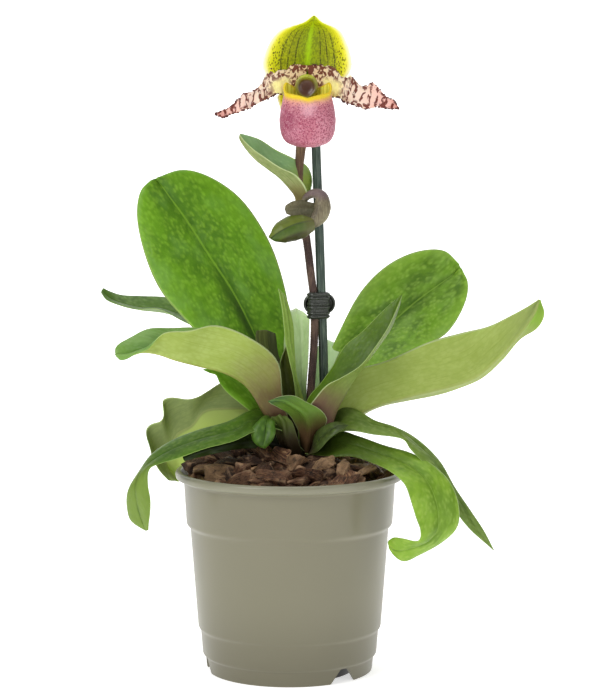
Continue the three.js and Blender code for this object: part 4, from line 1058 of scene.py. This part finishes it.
bract_rails = [
    (7.5, 7, 245.5, 3.5, 8, 245, 7, 13, 245.5), (9.5, 5, 250, 2, 6, 249.5, 10, 14, 249.5),
    (8, 2, 255, -2, 3, 254, 12, 15, 257), (3.5, -1, 260.5, -6.5, 0, 258.5, 9.5, 14, 264.5),
    (-4.5, -5, 264.5, -12.5, -4, 263.5, 2, 10, 269), (-12, -8, 269.5, -18, -7, 268, -7, 5, 273.5),
    (-19, -10, 274.5, -22.5, -9, 273.5, -15.5, -1, 279),
    (-24.5, -10, 280, -25.5, -9.5, 279, -23, -6, 281.5),
    (-25.5, -9, 282, -25.5, -9, 282, -25.5, -9, 282),
]
bract_skins = [
    upper_skin("bract_inside", "6a9058 86ac74 a2c490 93a63c", dots=0.3, painted_shade=0.3, low=0.5,
               edge=0.9, margin=0.92),
    under_skin("bract_outside", "a9b278 6c7e3e", base="86764a", stain=0.3, keel="c4c48c",
               edge=0.95, margin=0.9, vein=0.75),
]
bract_thickness = (1.0, 0.7)
settle(blade_mesh("flower_bract_sheath", *blade_sheet(bract_rails, 70, 27, arch=0.5),
                  bract_thickness, bract_skins), "bract", "flower_bract")

hook_path = [(7.5, 7, 247), (9.8, 5, 249.6), (13.6, 3.5, 250.9), (16.6, 2, 249), (17.1, 1.5, 244),
             (15.8, 1, 240), (13, 0, 237), (10, -1, 235.3)]
hook_rings = tube(hook_path, [1.6, 2.0, 2.5, 3.4, 4.6, 4.6, 3.9, 3.0], 36, 70)
hook_material = stem_skin("bud_sheath", "5c5342 8a8165 b8b48c", 0.42, 0.15,
                          top=("66505a", 0.246, 0.251))
settle(stem("second_bud_hook", hook_rings, 0.5, hook_material), "bud_bract", "second_bud_bract")
lobe_rails = [
    (16, 2, 245, 16.5, 0, 242, 15.5, -1, 238), (10.5, 0, 246.5, 10.5, -2, 243, 10.5, -3, 239),
    (6, -2, 247.5, 5.5, -5, 243.5, 6.5, -5, 239.5), (1.5, -4, 247, 1, -7, 243.5, 2, -6, 239.5),
    (-2, -6, 245, -2.5, -7, 243, -1.5, -6.5, 240.5),
]
lobe_material = stem_skin("bud_lobe", "4a4830 645f46 8a8668", 0.42, 0.15)
settle(blade_mesh("bud_sheath_lobe", *blade_sheet(lobe_rails, 44, 19, arch=0.8), bract_thickness,
                  [lobe_material] * 2), "bud_bract")

bud_path = [(12.2, -1.5, 235), (7, -3, 234.2), (1.3, -5, 233), (-4.3, -7, 230.9), (-8, -8.5, 229.4),
            (-10.2, -9, 228.9)]
bud_rings = tube(bud_path, [3.4, 6.2, 6.8, 5.7, 3.2, 0.9], 60, 60)
skin = Skin("closed_bud")
spot = skin.place()
east, _, level = skin.parts(spot)
veins = skin.cloud(skin.scaled(spot, 0.14, 1, 1), 1100, 3, 0.6)
mood = skin.cloud(spot, 90, 3)
# a low curved ridge runs along the bud; it is painted darker below the ridge and lighter above,
# with darker bands along its upper and lower edges and a lighter end towards the hook
ridge = skin.math("MULTIPLY_ADD", skin.times(east, east), -18.54, 0.23427)
above = skin.math("SUBTRACT", level, skin.math("MULTIPLY_ADD", east, 0.4421, ridge))
skin.tone = skin.blend(skin.step(above, -0.0004, 0.0006), "435a1c", "626f28")
skin.wash("707c34", mood, 0.4, 0.7, 0.5)
skin.wash("39461a", veins, 0.5, 0.75, 0.3)
skin.wash("34421a", skin.math("ABSOLUTE", above), 0.0007, 0.0001, 0.7)
skin.wash("3c3420", above, 0.0046, 0.0062, 0.7)
skin.wash("37301c", above, -0.0036, -0.0056, 0.8)
skin.wash("75704a", east, 0.005, 0.012, 0.6)
relief = skin.plus(skin.step(above, -0.0006, 0.0006), skin.times(veins, 0.3))
bud_material = skin.surface(skin.step(veins, 0.2, 0.8, 0.36, 0.46), relief, 0.5,
                            Specular_IOR_Level=0.3)
settle(stem("closed_second_bud", bud_rings, 0.4, bud_material), "bud", "second_bud")

# ------------------------------------------------------------------ flower
# The column carries every part of the flower. Its front is a glossy shield, the staminode: an
# olive rim with a yellow-green top round a maroon hollow.

column_x, column_front, column_level = 8.9, -8.5, 306.2
shield_wide, shield_high = 5.9, 6.3
# the shield from its middle to its back: share of its full size, and how far it stands out
shield_profile = [(0.02, -0.2), (0.3, -0.15), (0.5, 0.0), (0.62, 0.4), (0.72, 1.0), (0.85, 1.3),
                  (0.95, 0.95), (1.0, 0.1), (0.96, -0.8), (0.7, -1.3), (0.4, -1.6)]
shield_rows = []
for share, out in shield_profile:
    ring = []
    for angle in bearings(72):
        up = math.sin(angle)
        pointed = 1 + 0.1 * max(0.0, -up) ** 6 - 0.04 * max(0.0, up) ** 8
        ring.append((column_x + share * shield_wide * math.cos(angle), column_front - out,
                     column_level + share * shield_high * up * pointed))
    shield_rows.append(ring)
skin = Skin("staminode")
spot = skin.place()
middle = (-column_x * MM, 0.0, -(column_level - 0.8) * MM)
east, _, up = skin.parts(skin.add("VectorMath", {0: spot, 1: middle}, operation="ADD").outputs[0])
from_middle = skin.math("SQRT", skin.plus(skin.math("POWER", east, 2.0),
                                          skin.math("POWER", up, 2.0)))
fleck = skin.cloud(spot, 1500, 3, 0.6)
skin.tone = skin.ramp(skin.times(from_middle, 150.0), (0.0, "4e2a1e"), (0.46, "583220"),
                      (0.6, "5f4324"), (0.68, "7e762c"), (0.9, "9c9a3c"))
skin.wash("b9c034", up, 0.0036, 0.0062, 0.9)
skin.wash("5c4020", fleck, 0.5, 0.7, 0.5)
shield_material = skin.surface(0.3, fleck, 0.12, Coat_Weight=0.3, Coat_Roughness=0.2)
settle(new_piece("staminode_shield", *skinned_rings(shield_rows), [shield_material]),
       "staminode", "column")
neck_path = [(column_x, 4.5, 305.5), (column_x, 0, 307), (column_x, column_front + 1, column_level)]
neck_material = stem_skin("column_flesh", "7d8a2e 9aa63c c0c65c")
settle(new_piece("column_neck", *skinned_rings(tube(neck_path, [4, 3.6, 3.2], 36, 30)),
                 [neck_material]), "staminode")

# The pouch is a deep cup with an inrolled yellow rim, low in front with a shallow notch and drawn
# up at the sides, rose pink below under a fine dusting of magenta dots.
pouch_x, pouch_y, pouch_bottom, pouch_wall = 9.4, -14.5, 275.0, 1.0
pouch_sides = 96
# heights of the rim from the middle of the front, round either side, to the back
rim_heights = [299.3, 300.6, 301.4, 302.3, 304.6, 307.4, 306.0, 304.4, 304.0]
# the outside from the bottom (0) to the rim (1): share of the height, half its width and depth
pouch_outside = [(0, 3.4, 3), (0.01, 5.2, 4.5), (0.03, 7.2, 6), (0.06, 9.6, 7.9), (0.1, 11.3, 9.2),
                 (0.15, 12.5, 10.1), (0.22, 13.5, 10.8), (0.32, 14.2, 11.3), (0.48, 14.5, 11.6),
                 (0.66, 13.8, 11.3), (0.8, 12.8, 10.8), (0.92, 12.1, 10.6), (1, 12.2, 10.7)]


def pouch_ring(share, inward, floor, lift=0.0):
    shares, widths, depths = zip(*pouch_outside)
    wide, deep = (float(np.interp(share, shares, row)) - inward for row in (widths, depths))
    around = np.abs(np.linspace(-1, 1, pouch_sides + 1))[:-1]
    tops = smooth_curve([(0, 0, z) for z in rim_heights], around)[:, 2]
    ring = []
    for angle, from_front, top in zip(bearings(pouch_sides), around, tops):
        dent = 1 - 0.06 * math.exp(-(from_front / 0.05) ** 2) * (1 - share)
        ring.append((pouch_x - wide * math.sin(angle), pouch_y + deep * math.cos(angle) * dent,
                     floor + (top - floor) * share + lift))
    return ring


up_outside = np.concatenate([np.linspace(0, 0.1, 9), np.linspace(0.13, 1.0, 40)])
down_inside = up_outside[-2::-1]
rim_roll = [(-0.35, 0.35), (0.3, 0.8), (1.0, 0.4)]
pouch_rows = [pouch_ring(s, 0.0, pouch_bottom) for s in up_outside]
pouch_rows += [pouch_ring(1.0, inward, pouch_bottom, lift) for inward, lift in rim_roll]
pouch_rows += [pouch_ring(s, pouch_wall, pouch_bottom + pouch_wall) for s in down_inside]
# how far up each row is, and whether it is outside (0), on the rim or inside (1)
row_marks = [(s, 0.0) for s in up_outside] + [(1.0, 0.5)] * 3 + [(s, 1.0) for s in down_inside]
pouch_map = [mark for mark in row_marks for _ in range(pouch_sides)] + [(0.0, 0.0), (0.0, 1.0)]

skin = Skin("pouch_flesh")
spot = skin.place()
east = skin.parts(spot)[0]
height_up, inside, _ = skin.parts(skin.uv("height"))
speck = skin.cells(spot, 1050)
mist = skin.cloud(spot, 110, 3, 0.6)
fine = skin.cloud(spot, 1900, 3, 0.7)
level = skin.plus(height_up, skin.math("MULTIPLY_ADD", mist, 0.1, -0.05))
skin.tone = skin.ramp(level, (0.0, "9e4256"), (0.25, "aa4e64"), (0.6, "b45e72"), (0.8, "c67a82"),
                      (0.88, "dd9c88"), (0.93, "e0b25c"), (0.97, "e6ca18"))
# painted light: the right side below the rim is painted lighter, as if lit from the right
skin.tint(skin.times(skin.step(east, 0.002, 0.016), skin.step(level, 0.9, 0.6)), "c27788")
# painted shade: the flanks are darkened, centred right of the middle so the left flank is darkest
side_way = skin.math("ABSOLUTE", skin.plus(east, -(pouch_x + 5.0) * MM))
painted_shade_flanks = skin.times(skin.step(side_way, 0.005, 0.015, 0, 0.9), skin.step(level, 0.85, 0.6))
skin.tint(painted_shade_flanks, "923e58")
low = skin.step(level, 0.98, 0.8)
skin.tint(skin.times(skin.step(mist, 0.4, 0.68, 0, 0.45), low), "dc98a8")
skin.tint(skin.times(skin.step(speck, 0.52, 0.34, 0, 0.8), low), "8e2a4c")
skin.tint(skin.times(skin.step(fine, 0.54, 0.7, 0, 0.6), low), "f0cbd2")
# painted highlight: a pale band down the front of the pouch below the rim
front_way = skin.math("ABSOLUTE", skin.plus(east, -(pouch_x + 0.5) * MM))
pale = skin.times(skin.step(front_way, 0.006, 0.0005, 0, 0.5),
                  skin.times(skin.step(level, 0.55, 0.75), low))
skin.tint(pale, "eebfca")
stripes = skin.add("TexWave", {"Vector": spot, "Scale": 170.0, "Distortion": 1.0},
                   bands_direction="X").outputs["Fac"]
# the yellow lining is painted lighter than its own colour: partly painted light, standing for light
# coming through the pouch wall
lining = skin.blend(skin.step(stripes, 0.6, 0.9), "fff468", "ddd03a")
skin.tint(skin.step(inside, 0.6, 0.8), lining)
pouch_material = skin.surface(0.42, skin.plus(speck, fine), 0.1, (0.2, 0.002, (1.0, 0.4, 0.4)),
                              Specular_IOR_Level=0.35)
settle(new_piece("slipper_pouch", *skinned_rings(pouch_rows), [pouch_material],
                 maps={"height": pouch_map}), "pouch", "pouch")

# The dorsal sepal is a broad hood over the flower: lime green with a pale margin, whose glow is
# painted light from hairs made to glow, dark dotted lines running up it to the point, and darker
# spots low down at both sides.
sepal_rails = [
    (3.5, 3, 305.5, 9, 5, 305.5, 15, 3, 305.5), (-10, 1, 310, 9, 8, 310, 28.5, 1, 310),
    (-13.5, 0, 316.5, 9.5, 10, 316, 32, 0, 315.5), (-12.5, 1, 323, 10, 10, 322, 31.5, 1, 322.5),
    (-9.5, 0, 329.5, 10.5, 8.5, 328, 29.5, 0, 328.5),
    (-5, -1, 334.5, 11.5, 5.5, 333.5, 26.5, -1, 334), (1, -2, 337, 12, 2, 337.5, 22, -2, 337),
    (7.5, -4, 339, 12.5, -1.5, 340.5, 17, -4, 339), (12.5, -6, 342.5, 13, -6, 342.5, 13, -6, 342.5),
]


def sepal_skin(name, mark=1.0):
    skin = Blade(name)
    size, from_mid, along = skin.size, skin.from_mid, skin.along
    cloud = skin.cloud(size, 1.6, 3)
    net = skin.cells(size, (11.0, 8.0))
    # the near-white at the margin is partly the sepal's own pale edge and partly painted glow
    skin.tone = skin.ramp(from_mid, (0.0, "a6c802"), (0.05, "9cba02"), (0.1, "90a202"),
                          (0.35, "8e9604"), (0.6, "a8ad04"), (0.75, "cac80c"), (0.84, "dbd724"),
                          (0.9, "efe75c"), (0.95, "f9f3b0"), (1.0, "fdfae0"))
    skin.wash("b8cc04", along, 0.6, 0.85, 0.6)
    off_centre = skin.step(from_mid, 0.04, 0.1, 0.3, 1.0)
    netted = skin.times(skin.step(net, 0.42, 0.7, 0, 0.5), off_centre,
                        skin.step(from_mid, 0.8, 0.6))
    skin.tint(netted, "565c08")
    wander = skin.math("MULTIPLY_ADD", cloud, 0.3, -2.02)
    line = skin.math("PINGPONG", skin.math("MULTIPLY_ADD", from_mid, 6.25, wander), 0.5)
    band = skin.times(skin.step(from_mid, 0.2, 0.26), skin.step(along, 0.8, 0.64),
                      skin.step(from_mid, 0.8, 0.72))
    spots = skin.step(skin.cells(size, (9.0, 11.0)), 0.75, 0.4, 0.25, 1.0)
    dots = skin.times(spots, skin.step(line, 0.15, 0.05), band)
    sides = skin.times(skin.step(from_mid, 0.5, 0.66), skin.step(along, 0.68, 0.4),
                       skin.step(from_mid, 0.93, 0.82))
    streaks = skin.times(skin.step(skin.cells(size, (13.0, 7.0)), 0.46, 0.3), sides)
    skin.tint(skin.times(skin.math("MAXIMUM", dots, streaks), 0.9 * mark), "3a3408")
    # painted shadow: the base of the sepal darkened in the middle, above the petals
    painted_shade = skin.times(skin.step(along, 0.36, 0.1, 0, 0.6), skin.step(from_mid, 0.5, 0.1))
    skin.tint(painted_shade, "4c5a14")
    return skin.surface(0.45, skin.plus(net, cloud), 0.1, (0.2, 0.003, (0.9, 1.0, 0.2)),
                        Specular_IOR_Level=0.2)


petal_thickness, down_length = (1.1, 0.7), 2.6
sepal_sheet = blade_sheet(sepal_rails, 90, 51, groove=0.9, arch=0.6)
settle(blade_mesh("dorsal_sepal_hood", *sepal_sheet, petal_thickness,
                  [sepal_skin("dorsal_sepal_skin")] * 2), "sepal", "dorsal_sepal")


def margin_spot(grid, first, last, draw):
    """A random place on either margin of a sheet, between those rows, and the way out from it."""
    rows, across = grid.shape[:2]
    edge, inner = draw.choice(((0, 3), (across - 1, across - 4)))
    i = draw.randrange(first, rows - last)
    share = draw.random()
    root = grid[i, edge] * (1 - share) + grid[i + 1, edge] * share
    return root, unit(grid[i, edge] - grid[i, inner])


def fringe(grid, count, draw):
    """Fine short hairs standing out along both margins of a sheet, as points and faces."""
    points, faces = [], []
    for _ in range(count):
        root, out = margin_spot(grid, 6, 3, draw)
        lean = leaning(out, 0.45, draw)
        length = down_length * draw.uniform(0.5, 1.2)
        add_hair(points, faces, root, out, lean, length, 0.3, 0.075)
    return points, faces


# painted light: the marginal hairs are made to glow, so the margin looks lit from behind
skin = Skin("sepal_down")
skin.tone = skin.blend(skin.cloud(skin.place(), 500), "f8f3b8", "fdfcf0")
glowing_down_material = skin.surface(0.6, Emission_Color=(1.0, 0.99, 0.88, 1), Emission_Strength=0.5)
down = fringe(sepal_sheet[0], 2600, draw)
settle(new_piece("dorsal_sepal_down", *down, [glowing_down_material]), "sepal")

# Behind the pouch hangs the lower sepal, two grown together, yellow-green and mostly out of sight.
lower_rails = [
    (14.5, 3, 304.5, 9, 3, 304, 4, 3, 304.5), (20, 1, 300.5, 7.5, 1, 300.5, -6, 0, 301.5),
    (20.5, 0, 294, 7.5, 0, 293.5, -5, -1, 295.5), (18, 0, 285, 8, 1, 284, -0.5, 0, 285),
    (9.5, 2, 278, 9, 2, 278, 8.5, 2, 278),
]
settle(blade_mesh("lower_sepal_blade", *blade_sheet(lower_rails, 50, 27, groove=0.8),
                  petal_thickness, [sepal_skin("lower_sepal_skin", 0.4)] * 2),
       "sepal", "lower_sepal")

# The two petals sweep out and down, twisted and waved, cream to rose with maroon bars and blotches,
# yellow-green at the throat, with a row of dark hair-bearing warts along each edge.
petals = {
    "petal_left": (0.0, [
        (8, 0, 301.5, 8, 2, 310, 9.5, 3, 317), (2, -2, 302, 2.5, 1, 311, 3.5, 3, 317.5),
        (-4, -3, 301.5, -4.5, 0, 310, -4.5, 3, 317),
        (-7.5, -4, 302.5, -9.5, 0, 307.5, -11.5, 2, 313.5),
        (-12.5, -5, 298.5, -14, -3, 304, -14.5, 0, 308.5),
        (-18, -7, 296.5, -19, -5, 300, -19, -3, 303),
        (-22.5, -9, 294, -23.5, -8, 298, -23.5, -6, 303),
        (-26.5, -9.5, 292.5, -27, -9, 295.5, -27.5, -7.5, 298),
        (-29.5, -10, 292, -30.5, -10, 294, -31, -9, 295.5),
        (-34, -11, 290, -34.5, -11, 291.5, -35.5, -11, 293.5),
        (-38.5, -12, 292, -38.5, -12, 292, -38.5, -12, 292),
    ]),
    "petal_right": (1.0, [
        (9, 3, 317, 10.5, 2, 310, 11.5, 0, 301.5), (16.5, 3, 317.5, 16.5, 1, 311, 17, -2, 302),
        (23, 3, 316, 23, 0, 310, 22.5, -3, 300.5),
        (30.5, 2, 313.5, 28.5, -1, 307.5, 26.5, -4, 299.5),
        (34, 0, 308.5, 33, -3, 302.5, 30.5, -6, 297), (39, -2, 307, 38, -5, 301, 36.5, -8, 295),
        (44, -5, 307, 43, -8, 300.5, 42, -9, 295), (50, -9, 301, 49, -10, 298, 48.5, -11, 295),
        (54, -10, 298.5, 53.5, -11, 296.5, 53, -11.5, 294.5),
        (56.5, -12, 294.5, 56.5, -12, 294.5, 56.5, -12, 294.5),
    ]),
}


def petal_skin(name, low_side):
    skin = Blade(name)
    size, from_mid, along = skin.size, skin.from_mid, skin.along
    mist = skin.cloud(size, 2.0, 3, 0.6)
    skin.tone = skin.ramp(along, (0.0, "edca98"), (0.16, "efd2aa"), (0.28, "f4dec2"),
                          (0.5, "f4dccb"), (0.75, "eebfb2"), (1.0, "cc8a80"))
    skin.wash("f0dccf", mist, 0.5, 0.75, 0.45)
    bars = skin.add("TexWave", {"Vector": size, "Scale": 0.75, "Distortion": 6.5, "Detail": 2.0,
                                "Detail Scale": 1.2}, bands_direction="Y").outputs["Fac"]
    blotch = skin.cloud(size, (3.6, 5.0), 2, 0.5, 0.8)
    dots = skin.cells(size, (4.6, 4.6))
    mark = skin.times(skin.step(bars, 0.56, 0.68), skin.step(blotch, 0.45, 0.52))
    big = skin.times(skin.step(blotch, 0.48, 0.54), skin.step(along, 0.5, 0.2))
    rim_dots = skin.times(skin.step(dots, 0.5, 0.4), skin.step(from_mid, 0.4, 0.7, 0, 1))
    mark = skin.math("MAXIMUM", skin.math("MAXIMUM", mark, big), rim_dots)
    # beside the pouch the lower half is plain yellow-green
    from_low = skin.math("ABSOLUTE", skin.plus(skin.side, -low_side))
    wedge = skin.times(skin.step(from_low, 0.62, 0.4), skin.step(along, 0.36, 0.26),
                       skin.step(along, 0.1, 0.16))
    skin.tint(skin.times(wedge, 0.85), "fbf09c")
    mark = skin.times(mark, skin.math("MULTIPLY_ADD", wedge, -0.9, 1.0))
    skin.tint(skin.times(mark, 0.92), "641a10")
    return skin.surface(0.6, skin.plus(mist, mark), 0.1, (0.2, 0.002, (1.0, 0.6, 0.4)),
                        Specular_IOR_Level=0.08)


skin = Skin("petal_warts")
skin.tone = skin.blend(skin.cloud(skin.place(), 900), "3d1714", "6d2f2a")
wart_material = skin.surface(0.35)


def warts(grid, count, draw):
    """Small dark knobs along both margins of a petal."""
    points, faces = [], []
    for _ in range(count):
        root, out = margin_spot(grid, 4, 8, draw)
        size = draw.uniform(0.28, 0.6)
        centre = root - out * size * draw.uniform(0.0, 0.7) + (0, draw.uniform(-0.4, 0.1), 0)
        ball = bmesh.new()
        bmesh.ops.create_icosphere(ball, subdivisions=2, radius=size)
        ball.verts.index_update()
        start = len(points)
        for v in ball.verts:
            lump = 1 + 0.25 * noise.noise(v.co * 3 + Vector(centre))
            points.append(tuple(centre + np.array(v.co) * lump))
        faces += [tuple(start + v.index for v in f.verts) for f in ball.faces]
        ball.free()
    return points, faces


crimp_way = np.array((0.25, -0.9, 0.75))
for name, (low_side, rails) in petals.items():
    grid, u, t, half, run = blade_sheet(rails, 130, 31, groove=0.5, wave=1.5, waves=4.5)
    for k, row in enumerate(grid):
        fade = min(1.0, 3 * (1 - t[k]), 4 * t[k])
        for j in range(len(row)):
            crimp = noise.noise(Vector((run[k] * 0.55, u[j] * 1.2, len(rails) + rails[0][0])))
            row[j] += crimp_way * crimp * abs(u[j]) * fade
    skins = [petal_skin(name + "_skin", low_side)] * 2
    petal = blade_mesh(name + "_blade", grid, u, t, half, run, petal_thickness, skins)
    settle(petal, "petal", name)
    settle(new_piece(name + "_warts", *warts(grid, 110, draw), [wart_material]), "petal")

# ------------------------------------------------------------------ studio
# A pale seamless sheet under and behind the pot, broad soft lamps and a long lens at table height.

sheet_half, bend_at, bend_radius, sheet_top = 2200, 1700, 500, 2600
side_view = [(-sheet_half, 0), (bend_at, 0)]
side_view += [(bend_at + bend_radius * math.sin(a), bend_radius - bend_radius * math.cos(a))
              for a in np.linspace(0.15, 1.57, 12)]
side_view += [(bend_at + bend_radius, sheet_top)]
rows = len(side_view)
sheet_points = [(x, y, z) for x in (-sheet_half, sheet_half) for y, z in side_view]
sheet_faces = [(i, i + 1, rows + i + 1, rows + i) for i in range(rows - 1)]
skin = Skin("studio_sheet")
skin.tone = skin.blend(skin.cloud(skin.place(), 3, 2), "f6f6f5", "f9f9f8")
far_off = skin.parts(skin.place())[1]
floor_material = skin.surface(0.9, Emission_Color=(1, 1, 1, 1),
                              Emission_Strength=skin.step(far_off, 0.5, 1.5, 0.6, 0.85))
backdrop = new_piece("studio_sheet", sheet_points, sheet_faces, [floor_material])


def lamp(name, spot, aim, side, watts):
    light = bpy.data.lights.new(name, "AREA")
    light.shape = "RECTANGLE"
    light.size = light.size_y = side
    light.energy = watts
    stand = bpy.data.objects.new(name, light)
    stand.location = spot
    stand.rotation_euler = (Vector(aim) - Vector(spot)).to_track_quat("-Z", "Y").to_euler()
    bpy.context.scene.collection.objects.link(stand)


lamp("key", (-0.9, -1.0, 1.1), (0, 0, 0.2), 0.8, 13)
lamp("fill", (1.1, -0.9, 0.6), (0, 0, 0.18), 0.9, 4)
lamp("top", (0.0, 0.2, 1.5), (0, 0, 0.1), 1.0, 6)

world = bpy.data.worlds.new("studio")
world.use_nodes = True
sky = world.node_tree.nodes["Background"].inputs
sky["Color"].default_value = (1, 1, 1, 1)
sky["Strength"].default_value = 0.27
bpy.context.scene.world = world
bpy.context.scene.view_settings.view_transform = "Standard"

camera_height, camera_away, camera_tilt = 0.293, 1.2, 5.89
camera = bpy.data.cameras.new("camera")
camera.lens = 118.65
camera.sensor_width = 36
camera.clip_end = 20
eye = bpy.data.objects.new("camera", camera)
eye.location = (0.0055, -camera_away, camera_height)
eye.rotation_euler = (math.radians(90 - camera_tilt), 0, 0)
bpy.context.scene.collection.objects.link(eye)
bpy.context.scene.camera = eye
